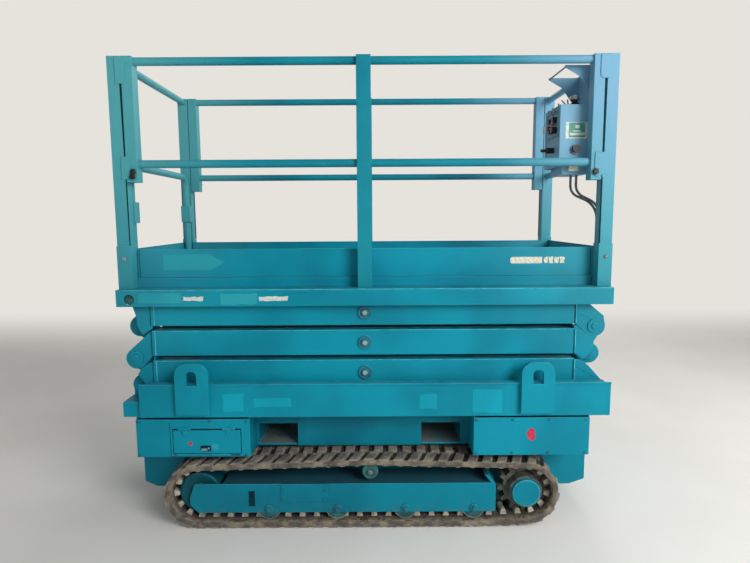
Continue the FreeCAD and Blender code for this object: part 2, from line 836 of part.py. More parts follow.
def make_base():
    """The base frame: a tray with skirts, roller channels, the entry step and the ears of the fixed pins."""
    left, right = base_left_x, base_right_x
    bottom, top, face, plate = base_bottom_z, base_top_z, base_face_y, S.base_plate
    inside = face - plate
    skirt = span("skirt", (left, right), (-face, -inside), (bottom, top))
    rim = span("skirt_rim", (left, right), (-face - S.base_rim / 2, -inside), (top - S.base_rim, top))
    node(both_sides("base_frame", fuse("skirt_near", [skirt, rim])), "base_frame")
    floor = bottom + plate
    node(span("base_floor", (left, right), (-inside, inside), (bottom, floor)), "base_floor")
    node(group("base_ends", [
        span("base_end", (right - plate, right), (-inside, inside), (floor, top)),
        span("base_entry_end", (left, left + plate), (-inside, inside), (floor, step_top_z)),
    ]), "base_ends")
    web_y = inside - S.channel_web
    lip_y = base_roller_y - S.roller_width / 2 - S.roller_play
    node(both_sides("base_channels", channel("base_channel", web_y, lip_y, S.base_pin_z, 1)), "base_channels")
    half = face - S.step_narrower
    node(span("step_beam", (S.pin_left_x - S.step_overhang, left), (-half, half), (bottom, step_top_z)), "step_beam")
    ears = []
    seat = inner_face_y - S.end_plate
    for side, low_y in (
        ("outer", -(inner_face_y + S.side_play + S.ear_plate)),
        ("inner", -(seat - S.side_play)),
    ):
        ears += pin_ear(f"base_ear_{side}", low_y, S.pin_left_x, S.base_pin_z, step_top_z, bore_radius)
    feet = [both_sides("base_ears", group("base_ears_near", ears))]
    near_y = S.eye_width / 2 + S.ear_play
    for side, low_y in (("near", -(near_y + S.ear_plate)), ("far", near_y)):
        feet += pin_ear(f"cylinder_foot_{side}", low_y, barrel_pin_x, barrel_pin_z,
                        floor, S.cylinder_pin_radius + S.pin_play)
    node(group("pin_ears", feet), "pin_ears")


def pin_ear(name, low_y, x, z, seat_z, bore, up=True):
    """A plate that holds a pin: round at the pin and square at its seat."""
    radius = S.ear_radius
    rows = (seat_z, z) if up else (z, seat_z)
    foot = span(name + "_foot", (x - radius, x + radius), (low_y, low_y + S.ear_plate), rows)
    eye = rod(name + "_round", "y", x, low_y, z, radius, S.ear_plate)
    hole = rod(name + "_hole", "y", x, low_y - 1, z, bore, S.ear_plate + 2)
    return [cut(name, fuse(name + "_solid", [foot, eye]), [hole])]


def make_lifting_lugs():
    """Four plates with rounded shoulders and an arched slot, welded to the base's sides on pads."""
    lugs = []
    low, high = base_bottom_z + S.lug_foot, base_top_z + S.lug_rise
    slot_top = base_top_z + S.lug_slot_height
    half = S.lug_width / 2
    arch = S.lug_slot_width / 2
    face = -(base_face_y + S.lug_plate + S.base_rim / 2)
    for side, middle in (("left", base_left_x + S.lug_inset_left), ("right", base_right_x - S.lug_inset_right)):
        name = f"lifting_lug_{side}"
        body = xz_slab(name, face, S.lug_plate, [
            (middle - half, low), (middle + half, low), (middle + half, high), (middle - half, high),
        ])
        middle_y = (face + S.lug_plate / 2).value
        picks = [((middle + half * way).value, middle_y, high.value) for way in (-1, 1)]
        fillet(body, body.Tip, picks, S.lug_corner)
        slot = fuse(name + "_slot", [
            span(name + "_slot_low", (middle - arch, middle + arch), (face - 1, face + S.lug_plate + 1),
                 (base_top_z, slot_top - arch)),
            rod(name + "_slot_top", "y", middle, face - 1, slot_top - arch, arch, S.lug_plate + 2),
        ])
        backing = span(name + "_pad", (middle - half, middle + half), (face + S.lug_plate, -base_face_y),
                       (low, base_top_z - S.base_rim))
        lugs.append(cut(name + "_slotted", fuse(name + "_backed", [body, backing]), [slot]))
    node(both_sides("lifting_lugs", group("lifting_lugs_near", lugs)), "lifting_lugs")


def make_hull():
    """The hull between the tracks, with its underside rising at both ends, and what stands on it."""
    left, right = base_left_x - S.hull_overhang, base_right_x - S.hull_inset
    half = hull_half_width
    under = S.ground_clearance
    node(xz_slab("hull", -half, half * 2, [
        (left, hull_top_z), (left, under + S.hull_end_rise), (left + S.hull_slope_left, under),
        (right - S.hull_slope_right, under), (right, under + S.hull_end_rise), (right, hull_top_z),
    ]), "hull")
    depth = S.pocket_half_width
    low, high = hull_top_z, base_bottom_z
    left_pocket = left_box_end_x + S.pocket_inset_left
    right_pocket = right_box_x - S.pocket_inset_right - S.pocket_width
    floor = low + S.pocket_floor
    block = span("pocket_block", (left_box_end_x, right_box_x), (-depth, depth), (low, high))
    between = span("pocket_front", (left_pocket + S.pocket_width, right_pocket),
                   (-depth - S.pocket_front, depth + S.pocket_front), (low, high))
    holes = []
    for side, x in (("left", left_pocket), ("right", right_pocket)):
        holes.append(span(f"pocket_{side}", (x, x + S.pocket_width), (-depth - S.pocket_front, depth + S.pocket_front),
                          (floor, floor + S.pocket_height)))
    node(cut("fork_pockets", fuse("pocket_solid", [block, between]), holes), "fork_pockets")


def make_boxes():
    """The two boxes over the tracks: open frames closed by covers, with the power pack and the battery inside."""
    low, high, wall = hull_top_z, base_bottom_z, S.box_wall
    half = box_half_width
    for side, x0, x1 in (
        ("left", left_box_x, left_box_end_x), ("right", right_box_x, right_box_end_x),
    ):
        shell = span(f"{side}_box_solid", (x0, x1), (-half, half), (low, high))
        inside = span(f"{side}_box_inside", (x0 + wall, x1 - wall), (-half - 1, half + 1), (low + wall, high - wall))
        node(cut(f"{side}_box", shell, [inside]), f"{side}_box")
    pack_x = door_left_x + (door_right_x - door_left_x - S.pack_length) / 2
    node(span("power_pack", (pack_x, pack_x + S.pack_length), (-S.pack_half_width, S.pack_half_width),
              (low + wall, low + wall + S.pack_height)), "power_pack")
    battery_x = (right_box_x + right_box_end_x - S.battery_length) / 2
    node(span("battery", (battery_x, battery_x + S.battery_length), (-S.battery_half_width, S.battery_half_width),
              (low + wall, low + wall + S.battery_height)), "battery")


def make_covers():
    half, plate = box_half_width, S.cover_plate
    low, high = hull_top_z + S.cover_low_gap, base_bottom_z - S.cover_top_gap
    door_low, door_high = low + S.door_low_margin, high - S.door_top_margin
    latch_x = door_right_x - S.latch_inset
    latch_z = door_low + S.latch_rise
    hinges = S.door_hinge_radius
    hinge_y = -(half + plate + hinges + S.side_play)
    hinge_z = door_high
    left = span("left_cover_plate", (left_box_x, left_box_end_x), (-half - plate, -half), (low, high))
    opening = span("door_opening", (door_left_x, door_right_x), (-half - plate - 1, -half + 1),
                   (door_low, door_high))
    frame = [cut("left_cover", left, [opening])]
    knuckle = S.door_knuckle
    for i, x in enumerate((door_left_x + S.door_hinge_inset, door_right_x - S.door_hinge_inset)):
        for end, x0 in (("left", x - knuckle * 1.5), ("right", x + knuckle * 0.5)):
            frame.append(rod(f"door_knuckle_{i + 1}_{end}", "x", x0, hinge_y, hinge_z, hinges, knuckle))
            frame.append(span(f"door_strap_{i + 1}_{end}", (x0, x0 + knuckle), (hinge_y, -half - plate),
                              (hinge_z + 1, hinge_z + hinges)))
        frame.append(rod(f"door_pin_{i + 1}", "x", x - knuckle, hinge_y, hinge_z, hinges / 2, knuckle * 2))
    node(both_sides("left_covers", fuse("left_cover_hinged", frame)), "left_covers")
    right = span("right_cover", (right_box_x, right_box_end_x), (-half - plate, -half), (low, high))
    node(both_sides("right_covers", right), "right_covers")
    gap = S.door_gap
    for side in ("near", "far"):
        leaf = span(f"door_{side}_leaf", (door_left_x + gap, door_right_x - gap), (-half - plate, -half),
                    (door_low + gap, door_high - gap * 2))
        latch = span(f"door_{side}_latch", (latch_x - S.latch_width / 2, latch_x + S.latch_width / 2),
                     (-half - plate - 1, -half - plate + S.latch_depth),
                     (latch_z - S.latch_height / 2, latch_z + S.latch_height / 2))
        leaves = [leaf]
        holes = [latch]
        for i, x in enumerate((door_left_x + S.door_hinge_inset, door_right_x - S.door_hinge_inset)):
            name = f"door_{side}_hinge_{i + 1}"
            low_x = x - knuckle / 2 + S.side_play
            length = knuckle - S.side_play * 2
            leaves.append(rod(name, "x", low_x, hinge_y, hinge_z, hinges, length))
            leaves.append(span(name + "_strap", (low_x, low_x + length), (hinge_y - 1, -half - plate),
                               (door_high - gap * 2 - S.door_strap, hinge_z - 1)))
            holes.append(rod(name + "_bore", "x", low_x - 1, hinge_y, hinge_z, hinges / 2 + S.pin_play, length + 2))
        door = cut(f"door_{side}_cut", fuse(f"door_{side}_solid", leaves), holes)
        if side == "far":
            door = mirror("door_far_mirror", door)
        node(group(f"door_{side}", [door]), f"door_{side}")


def tangent_between(a, b):
    """Where a belt that runs round two wheels leaves one and meets the next, both turned the same way."""
    dx, dz = b[0] - a[0], b[1] - a[1]
    far = math.hypot(dx, dz)
    slope = math.atan2(dz, dx)
    turn = slope - math.acos((a[2] - b[2]) / far)
    nx, nz = math.cos(turn), math.sin(turn)
    return (a[0] + a[2] * nx, a[1] + a[2] * nz), (b[0] + b[2] * nx, b[1] + b[2] * nz)


def belt_path(wheels, extra):
    """The belt's runs: straight ones between the wheels and arcs round them, at a height above the wheels."""
    rings = [(x, z, r + extra) for x, z, r in wheels]
    count = len(rings)
    lines = [tangent_between(rings[i], rings[(i + 1) % count]) for i in range(count)]
    runs = []
    for i in range(count):
        start, end = lines[i]
        ring = rings[(i + 1) % count]
        leave = lines[(i + 1) % count][0]
        first = math.atan2(end[1] - ring[1], end[0] - ring[0])
        sweep = (math.atan2(leave[1] - ring[1], leave[0] - ring[0]) - first) % math.tau
        runs.append(("line", start, end, math.dist(start, end)))
        runs.append(("arc", ring, first, sweep * ring[2]))
    return runs


def belt_face(runs):
    """The face inside the belt's runs, each arc drawn as facets."""
    corners = []
    for kind, a, b, length in runs:
        if kind == "line":
            corners += [a, b]
            continue
        count = max(1, round(length / SIZES["belt_facet"]))
        for i in range(1, count):
            angle = b + length / a[2] * i / count
            corners.append((a[0] + a[2] * math.cos(angle), a[1] + a[2] * math.sin(angle)))
    points = [FreeCAD.Vector(x, 0, z) for x, z in corners]
    return Part.Face(Part.makePolygon(points + points[:1]))


def along_belt(runs, distance):
    """The place and the outward angle at a distance along the belt's runs."""
    for kind, a, b, length in runs:
        if distance <= length:
            if kind == "line":
                share = distance / length
                heading = math.atan2(b[1] - a[1], b[0] - a[0])
                return a[0] + (b[0] - a[0]) * share, a[1] + (b[1] - a[1]) * share, heading - math.pi / 2
            angle = b + distance / a[2]
            return a[0] + a[2] * math.cos(angle), a[1] + a[2] * math.sin(angle), angle
        distance -= length
    return along_belt(runs, distance)


def tread_block(runs, distance, low_y, width, root, tip, base, top, skew):
    """A block that tapers from base to top, or to an edge where top is 0.

    root and tip are counted outwards from the belt's middle line.
    """
    x, z, angle = along_belt(runs, distance)
    out = FreeCAD.Vector(math.cos(angle), 0, math.sin(angle))
    ahead = FreeCAD.Vector(-math.sin(angle), 0, math.cos(angle))
    place = FreeCAD.Vector(x, low_y, z) - ahead * (skew / 2)
    low, high = place + out * root, place + out * tip
    ring = [low - ahead * (base / 2), low + ahead * (base / 2), high]
    if top:
        ring[2:] = [high + ahead * (top / 2), high - ahead * (top / 2)]
    face = Part.Face(Part.makePolygon(ring + ring[:1]))
    return face.extrude(FreeCAD.Vector(0, width, 0) + ahead * skew)


def belt_wheels():
    """The wheels that the belt runs round, each as x, z and radius, in the belt's own order."""
    rings = (
        (S.idler_x, idler_z, S.idler_wrap_radius),
        (last_roller_x, roller_z, S.bottom_roller_radius),
        (sprocket_x, sprocket_z, S.sprocket_wrap_radius),
        (carrier_x, carrier_z, S.carrier_radius),
    )
    return [(x.value, z.value, radius.value) for x, z, radius in rings]


def belt_links():
    """The belt's middle line and the length of one link on it."""
    runs = belt_path(belt_wheels(), belt_middle.value)
    return runs, sum(run[3] for run in runs) / SIZES["link_count"]


def make_tracks():
    """The rubber belts with two staggered rows of lugs outside, the outer one slanted, and steel guide teeth inside."""
    play, thickness, width = SIZES["wheel_play"], SIZES["belt_thickness"], SIZES["track_width"]
    middle, pitch = belt_links()
    low_y = -(SIZES["track_inner_y"] + width)
    belt = belt_face(belt_path(belt_wheels(), play + thickness)).extrude(FreeCAD.Vector(0, width, 0))
    belt = belt.cut(belt_face(belt_path(belt_wheels(), play)).extrude(FreeCAD.Vector(0, width, 0)))
    belt.translate(FreeCAD.Vector(0, low_y, 0))
    lug_width, inset, half = SIZES["belt_lug_width"], SIZES["belt_lug_inset"], thickness / 2
    tooth_width = SIZES["guide_tooth_width"]
    # low y, share of a link ahead, width, root, tip, base, top and skew of each row of blocks
    rows = (
        (low_y + inset, 0.0, lug_width, half - SIZES["belt_lug_root"], half + SIZES["belt_lug_height"],
         SIZES["belt_lug_length"], SIZES["belt_lug_top"], -SIZES["belt_lug_skew"]),
        (low_y + width - lug_width - inset, 0.5, lug_width, half - SIZES["belt_lug_root"],
         half + SIZES["belt_lug_height"], SIZES["belt_lug_length"], SIZES["belt_lug_top"], 0),
        (low_y + (width - tooth_width) / 2, 0.0, tooth_width, -half + SIZES["guide_tooth_root"],
         -half - SIZES["guide_tooth_height"], SIZES["guide_tooth_length"], 0, 0),
    )
    blocks = []
    for row_y, phase, across, root, tip, base, top, skew in rows:
        for i in range(SIZES["link_count"]):
            blocks.append(tread_block(middle, (i + phase) * pitch, row_y, across, root, tip, base, top, skew))
    reach = SIZES["wheel_base"] * 2
    ground = Part.makeBox(reach, width * 2, width, FreeCAD.Vector(-reach / 2, low_y - width / 2, -width))
    near = doc.addObject("Part::Feature", "track_near")
    near.Shape = belt.fuse(blocks).cut(ground)
    node(near, "track_near")
    node(group("track_far", [mirror("track_far_mirror", near)]), "track_far")


def spool(name, x, z, radius, middle_radius, pin_radius):
    """A roller with two rims outside the guide teeth, a thinner middle that they pass, and a pin to the near face."""
    half = S.rim_gap / 2 + S.rim_width
    low = -(track_middle_y + half)
    return fuse(name, [
        rod(name + "_near_rim", "y", x, low, z, radius, S.rim_width),
        rod(name + "_far_rim", "y", x, -(track_middle_y - S.rim_gap / 2), z, radius, S.rim_width),
        rod(name + "_middle", "y", x, low, z, middle_radius, half * 2),
        rod(name + "_pin", "y", x, frame_near_y - S.axle_head, z, pin_radius, S.axle_head + S.frame_half_width),
    ])


def make_wheels():
    """The idlers, which run on the tips of the guide teeth, the bottom rollers and the carrier rollers."""
    half = S.guide_tooth_width / 2
    radius = S.idler_wrap_radius - S.guide_tooth_height - S.tooth_tip_play
    idler = fuse("idler_near", [
        rod("idler_disc", "y", S.idler_x, -(track_middle_y + half), idler_z, radius, half * 2),
        rod("idler_axle", "y", S.idler_x, frame_near_y + S.frame_plate, idler_z, S.pin_radius,
            (S.frame_half_width - S.frame_plate) * 2),
    ])
    node(both_sides("idlers", idler), "idlers")
    rollers = []
    for i in range(4):
        x = first_roller_x + S.bottom_roller_pitch * i
        wheel = spool(f"bottom_roller_{i + 1}", x, roller_z, S.bottom_roller_radius, S.roller_middle_radius, S.axle_radius)
        far_pin = rod(f"bottom_roller_{i + 1}_far_pin", "y", x, -track_middle_y, roller_z, S.axle_radius,
                      S.frame_half_width)
        rollers.append(fuse(f"bottom_roller_{i + 1}_whole", [wheel, far_pin]))
    node(both_sides("bottom_rollers", group("bottom_rollers_near", rollers)), "bottom_rollers")
    carrier = fuse("carrier_near", [
        spool("carrier_spool", carrier_x, carrier_z, S.carrier_radius, S.carrier_pin_radius, S.carrier_pin_radius),
        rod("carrier_axle", "y", carrier_x, -track_middle_y, carrier_z, S.carrier_pin_radius,
            track_middle_y - hull_half_width),
    ])
    node(both_sides("carrier_rollers", carrier), "carrier_rollers")
    make_sprockets()


def make_sprockets():
    """The drive wheels: a toothed plate on a motor drum that comes out of the hull.

    The teeth stand midway between the belt's guide teeth, counted from the link furthest to the right.
    """
    x, z = sprocket_x, sprocket_z
    half = S.sprocket_width / 2
    cover_low = frame_near_y - S.hub_cover
    pieces = [
        rod("sprocket_plate", "y", x, -(track_middle_y + half), z, S.sprocket_plate_radius, half * 2),
        rod("sprocket_drum", "y", x, frame_near_y, z, S.drum_radius, -hull_half_width - frame_near_y),
        rod("sprocket_cover", "y", x, cover_low, z, S.hub_cover_radius, S.hub_cover + 1),
    ]
    middle, pitch = belt_links()
    turn = max(along_belt(middle, i * pitch) for i in range(SIZES["link_count"]))[2]
    step = math.tau / SIZES["sprocket_teeth"]
    base, top = SIZES["sprocket_tooth_base"] / 2, SIZES["sprocket_tooth_tip"] / 2
    reach = SIZES["sprocket_tooth_reach"] + SIZES["sprocket_tooth_root"]
    low_y = -(track_middle_y + half).value
    centre = FreeCAD.Vector(x.value, low_y, z.value)
    blocks = []
    for i in range(SIZES["sprocket_teeth"]):
        angle = turn + step * (i + 0.5)
        out = FreeCAD.Vector(math.cos(angle), 0, math.sin(angle))
        ahead = FreeCAD.Vector(-out.z, 0, out.x)
        root = centre + out * (SIZES["sprocket_plate_radius"] - SIZES["sprocket_tooth_root"])
        tip = root + out * reach
        ring = [root - ahead * base, root + ahead * base, tip + ahead * top, tip - ahead * top]
        face = Part.Face(Part.makePolygon(ring + ring[:1]))
        blocks.append(face.extrude(FreeCAD.Vector(0, SIZES["sprocket_width"], 0)))
    teeth = doc.addObject("Part::Feature", "sprocket_teeth")
    teeth.Shape = Part.makeCompound(blocks)
    pieces.append(teeth)
    node(both_sides("sprockets", fuse("sprocket_near", pieces)), "sprockets")


def make_track_frames():
    """Each track frame is a box girder, open inside for the rollers, with a blunt nose and a bent end plate."""
    left, right = S.idler_x - S.frame_overhang, sprocket_x - S.frame_drive_gap
    low, high = roller_z - S.frame_drop, roller_z - S.frame_drop + S.frame_depth
    low_y, width = frame_near_y, S.frame_half_width * 2
    girder = xz_slab("track_frame_girder", low_y, width, [
        (left, high - S.nose_top_z), (left, low + S.nose_low_z), (left + S.nose_low_x, low),
        (right, low), (right, high), (left + S.nose_top_x, high),
    ])
    inside_low = low_y + S.frame_plate
    inside = width - S.frame_plate * 2
    clear = S.bottom_roller_radius + S.roller_room
    slot_x = S.idler_x + S.slot_offset
    rooms = [
        box("frame_tunnel", first_roller_x - clear, inside_low, low - 1, last_roller_x - first_roller_x + clear * 2,
            inside, roller_z + clear - low + 1),
        rod("frame_idler_room", "y", S.idler_x, inside_low, idler_z, S.idler_wrap_radius, inside),
        span("frame_slot", (slot_x, slot_x + S.slot_width), (low_y - 1, inside_low + 1),
             (low + S.slot_floor, low + S.slot_floor + S.slot_height)),
    ]
    for i in range(4):
        x = first_roller_x + S.bottom_roller_pitch * i
        rooms.append(rod(f"frame_bore_{i + 1}", "y", x, low_y - 1, roller_z, S.axle_radius, width + 2))
    rooms.append(rod("frame_idler_bore", "y", S.idler_x, low_y + S.frame_plate / 2, idler_z, S.pin_radius, inside))
    bend_z = high - S.end_plate_bend
    end_right = right + S.end_plate_width
    end_top = bend_z + S.end_plate_rise
    pieces = [
        cut("track_frame_hollow", girder, rooms),
        xz_slab("frame_end_plate", low_y, width, [
            (right, low), (end_right, low), (end_right, bend_z),
            (end_right - S.end_plate_lean, end_top), (right - S.end_plate_lean, end_top), (right, bend_z),
        ]),
    ]
    cover_x = first_roller_x + S.frame_cover_offset
    pieces.append(span("frame_cover", (cover_x, cover_x + S.frame_cover_length), (low_y - S.frame_cover_plate, low_y),
                       (high - S.frame_cover_depth, high)))
    for i, x in enumerate((left + S.frame_arm_left, right - S.frame_arm_right)):
        pieces.append(span(f"frame_arm_{i + 1}", (x, x + S.frame_arm_width), (low_y + width, -hull_half_width),
                           (high - S.frame_arm_drop - S.frame_arm_depth, high - S.frame_arm_drop)))
    node(both_sides("track_frames", fuse("track_frame_near", pieces)), "track_frames")


def make_deck():
    """The platform's deck: a floor with a tread plate on it, edges all round, ribs, pin ears and roller channels."""
    left, right = deck_left_x, deck_right_x
    half, plate = deck_half_width, S.deck_plate
    low, top = deck_bottom_z, deck_top_z
    under = top - plate
    tread_left = left + S.toe_setback + S.toe_plate + S.side_play
    tread_right = right - S.post_size - S.socket_wall - S.side_play
    tread_half = toe_face_y - S.toe_plate - S.side_play
    node(fuse("deck", [
        span("deck_floor", (left, right), (-half, half), (under, top)),
        span("deck_tread", (tread_left, tread_right), (-tread_half, tread_half), (top, top + S.tread_plate)),
    ]), "deck")
    side = span("deck_side", (left, right), (-half, -half + plate), (low, under))
    hole = rod("deck_hole", "y", S.pin_left_x, -half - 1, platform_pin_z, S.access_hole_radius, plate + 2)
    near = cut("deck_side_near", side, [hole])
    node(fuse("deck_edges", [
        near,
        mirror("deck_side_far", near),
        span("deck_end_left", (left, left + plate), (-half, half), (low, under)),
        span("deck_end_right", (right - plate, right), (-half, half), (low, under)),
    ]), "deck_edges")
    web_y = platform_roller_y - S.roller_width / 2 - S.roller_play
    rib_half = web_y - S.channel_web
    ribs = []
    for i in range(5):
        x = S.deck_rib_pitch * (i - 2) - S.deck_rib_plate / 2
        ribs.append(span(f"deck_rib_{i + 1}", (x, x + S.deck_rib_plate), (-rib_half, rib_half),
                         (under - S.deck_rib_height, under)))
    node(group("deck_ribs", ribs), "deck_ribs")
    lip_y = platform_roller_y + S.roller_width / 2 + S.roller_play
    rail = channel("platform_channel", web_y, lip_y, platform_pin_z, -1)
    filler_y = -(web_y - S.channel_web)
    filler = span("platform_channel_pad", (channel_left_x, channel_right_x), (-lip_y, filler_y),
                  (platform_pin_z + S.roller_radius + S.roller_play, under))
    node(both_sides("platform_channels", fuse("platform_channel_near", [rail, filler])), "platform_channels")
    ears = []
    back = S.outer_face_y - S.beam_width
    for side, low_y in (
        ("outer", -(back + S.end_plate + S.side_play + S.ear_plate)),
        ("inner", -(back - S.side_play)),
    ):
        ears += pin_ear(f"deck_ear_{side}", low_y, S.pin_left_x, platform_pin_z, under, bore_radius, up=False)
    node(both_sides("deck_ears", group("deck_ears_near", ears)), "deck_ears")


def make_posts():
    """Corner posts in sockets, with the straps and knobs that lock the folding rails."""
    size, face = S.post_size, post_face_y
    low, top = deck_top_z, post_top_z
    posts = []
    sockets = []
    wall = S.socket_wall
    for end, x in (("left", deck_left_x), ("right", deck_right_x - size)):
        posts.append(span(f"corner_post_{end}", (x, x + size), (-face, -face + size), (low, top)))
        shell = span(f"socket_{end}_solid", (x - wall, x + size + wall), (-face - wall, -face + size + wall),
                     (low, socket_top_z))
        inside = span(f"socket_{end}_inside", (x, x + size), (-face, -face + size), (low - 1, socket_top_z + 1))
        sockets.append(cut(f"socket_{end}", shell, [inside]))
    node(both_sides("corner_posts", group("corner_posts_near", posts)), "corner_posts")
    node(both_sides("post_sockets", group("post_sockets_near", sockets)), "post_sockets")
    straps = []
    knobs = []
    member, gap, corner = S.member_width, S.post_gap, S.strap_corner
    for end, edge, way in (("left", deck_left_x + size, 1), ("right", deck_right_x - size, -1)):
        inner = edge + (gap + S.strap_lap) * way
        # level, outer end, lower edge and upper edge of each strap
        for level, outer, z0, z1 in (
            ("top", edge - S.strap_reach * way, top_rail_z - S.top_strap_below, top_rail_z + S.top_strap_above),
            ("mid", edge + (gap + 2) * way, mid_rail_z - S.mid_strap_below, mid_rail_z + S.mid_strap_above),
        ):
            straps.append(xz_slab(f"strap_{end}_{level}", -face - S.strap_plate, S.strap_plate, [
                (outer, z1), (outer, z0 + corner), (outer + corner * way, z0),
                (inner - corner * way, z0), (inner, z0 + corner), (inner, z1),
            ]))
        knob_x = edge + gap + member if end == "left" else edge - gap - member - S.latch_knob_length
        knobs.append(rod(f"latch_knob_{end}", "x", knob_x, -rail_y, member_bottom_z + S.latch_knob_rise,
                         S.latch_knob_radius, S.latch_knob_length))
    node(both_sides("rail_straps", group("rail_straps_near", straps)), "rail_straps")
    node(both_sides("latch_knobs", group("latch_knobs_near", knobs)), "latch_knobs")


def make_side_rails():
    """Each side's guardrail is one welded frame: two end members, a centre post and two rails."""
    size, face, gap = S.post_size, post_face_y, S.post_gap
    member = S.member_width
    left = deck_left_x + size + gap
    right = deck_right_x - size - gap
    half = S.centre_post_size / 2
    middle = (left + right) / 2
    pieces = [
        span("member_left", (left, left + member), (-face, -face + size), (member_bottom_z, post_top_z)),
        span("member_right", (right - member, right), (-face, -face + size), (member_bottom_z, post_top_z)),
        span("centre_post", (middle - half, middle + half), (-rail_y - half, -rail_y + half), (deck_top_z, post_top_z)),
    ]
    for level, z in (("top", top_rail_z), ("mid", mid_rail_z)):
        pieces.append(rod(f"side_rail_{level}", "x", left + member / 2, -rail_y, z, S.rail_radius,
                          right - left - member))
    near = fuse("guardrail_near", pieces)
    node(near, "guardrail_near")
    node(group("guardrail_far", [mirror("guardrail_far_mirror", near)]), "guardrail_far")


def make_end_rails():
    """Two rails between the posts at the control end and one above the entry."""
    half = post_face_y - S.post_size
    inset = S.post_size / 2
    rails = []
    for name, x, z in (
        ("right_top", deck_right_x - inset, top_rail_z), ("right_mid", deck_right_x - inset, mid_rail_z),
        ("left_top", deck_left_x + inset, top_rail_z),
    ):
        rails.append(rod(f"end_rail_{name}", "y", x, -half, z, S.rail_radius, half * 2))
    node(group("end_rails", rails), "end_rails")
    make_entry_bar(half)


def make_entry_bar(half):
    """The entry bar: a tube bent down into two legs, which slide in sleeves on the corner posts."""
    bar_x = deck_left_x + S.entry_bar_inset
    leg_y = half - S.entry_leg_gap
    leg, bend, radius = leg_y.value, SIZES["entry_bend_radius"], SIZES["rail_radius"]
    x, top, bottom = bar_x.value, mid_rail_z.value, (deck_top_z + S.entry_leg_foot).value
    corner = bend * (1 - math.sqrt(0.5))
    spots = {
        "foot": (-leg, bottom), "rise": (-leg, top - bend),
        "turn": (-leg + corner, top - corner), "start": (-leg + bend, top),
    }
    near = {key: FreeCAD.Vector(x, y, z) for key, (y, z) in spots.items()}
    far = {key: FreeCAD.Vector(x, -y, z) for key, (y, z) in spots.items()}
    path = Part.Wire([
        Part.LineSegment(near["foot"], near["rise"]).toShape(),
        Part.Arc(near["rise"], near["turn"], near["start"]).toShape(),
        Part.LineSegment(near["start"], far["start"]).toShape(),
        Part.Arc(far["start"], far["turn"], far["rise"]).toShape(),
        Part.LineSegment(far["rise"], far["foot"]).toShape(),
    ])
    ring = Part.Wire(Part.Circle(near["foot"], FreeCAD.Vector(0, 0, 1), radius).toShape())
    bar = doc.addObject("Part::Feature", "entry_bar")
    bar.Shape = path.makePipeShell([ring], True, True)
    node(bar, "entry_bar")
    low = deck_top_z + S.entry_sleeve_rise
    around = S.rail_radius + S.entry_sleeve_wall
    sleeve = span("sleeve_solid", (bar_x - around, bar_x + around), (-half, -leg_y + around),
                  (low, low + S.entry_sleeve_length))
    bore = rod("sleeve_bore", "z", bar_x, -leg_y, low - 1, S.rail_radius + S.side_play, S.entry_sleeve_length + 2)
    node(both_sides("bar_sleeves", cut("bar_sleeve_near", sleeve, [bore])), "bar_sleeves")


def toe_section(face, inward):
    """The folded sheet of a toe board: a foot, a step in, the web and a top fold; inward is the way of the folds."""
    plate = S.toe_plate * inward
    step = S.toe_step * inward
    fold = S.toe_fold * inward
    low, high, middle = deck_top_z, toe_top_z, deck_top_z + S.toe_step_height
    return [
        (face, low), (face, middle), (face + step, middle), (face + step, high), (face + step + fold, high),
        (face + step + fold, high - S.toe_plate), (face + step + plate, high - S.toe_plate),
        (face + step + plate, middle - S.toe_plate), (face + plate, middle - S.toe_plate), (face + plate, low),
    ]


def make_toe_boards():
    """Folded sheets that close the deck's edges between the posts."""
    wall = S.socket_wall + S.side_play
    left = deck_left_x + S.post_size + wall
    right = deck_right_x - S.post_size - wall
    near = slab("toe_board_near", "yz", left, right - left, toe_section(-toe_face_y, 1))
    half = post_face_y - S.post_size - wall
    end_left = xz_slab("toe_board_left", -half, half * 2, toe_section(deck_left_x + S.toe_setback, 1))
    end_right = xz_slab("toe_board_right", -half, half * 2, toe_section(deck_right_x - S.toe_setback, -1))
    node(group("toe_boards", [both_sides("toe_boards_side", near), end_left, end_right]), "toe_boards")


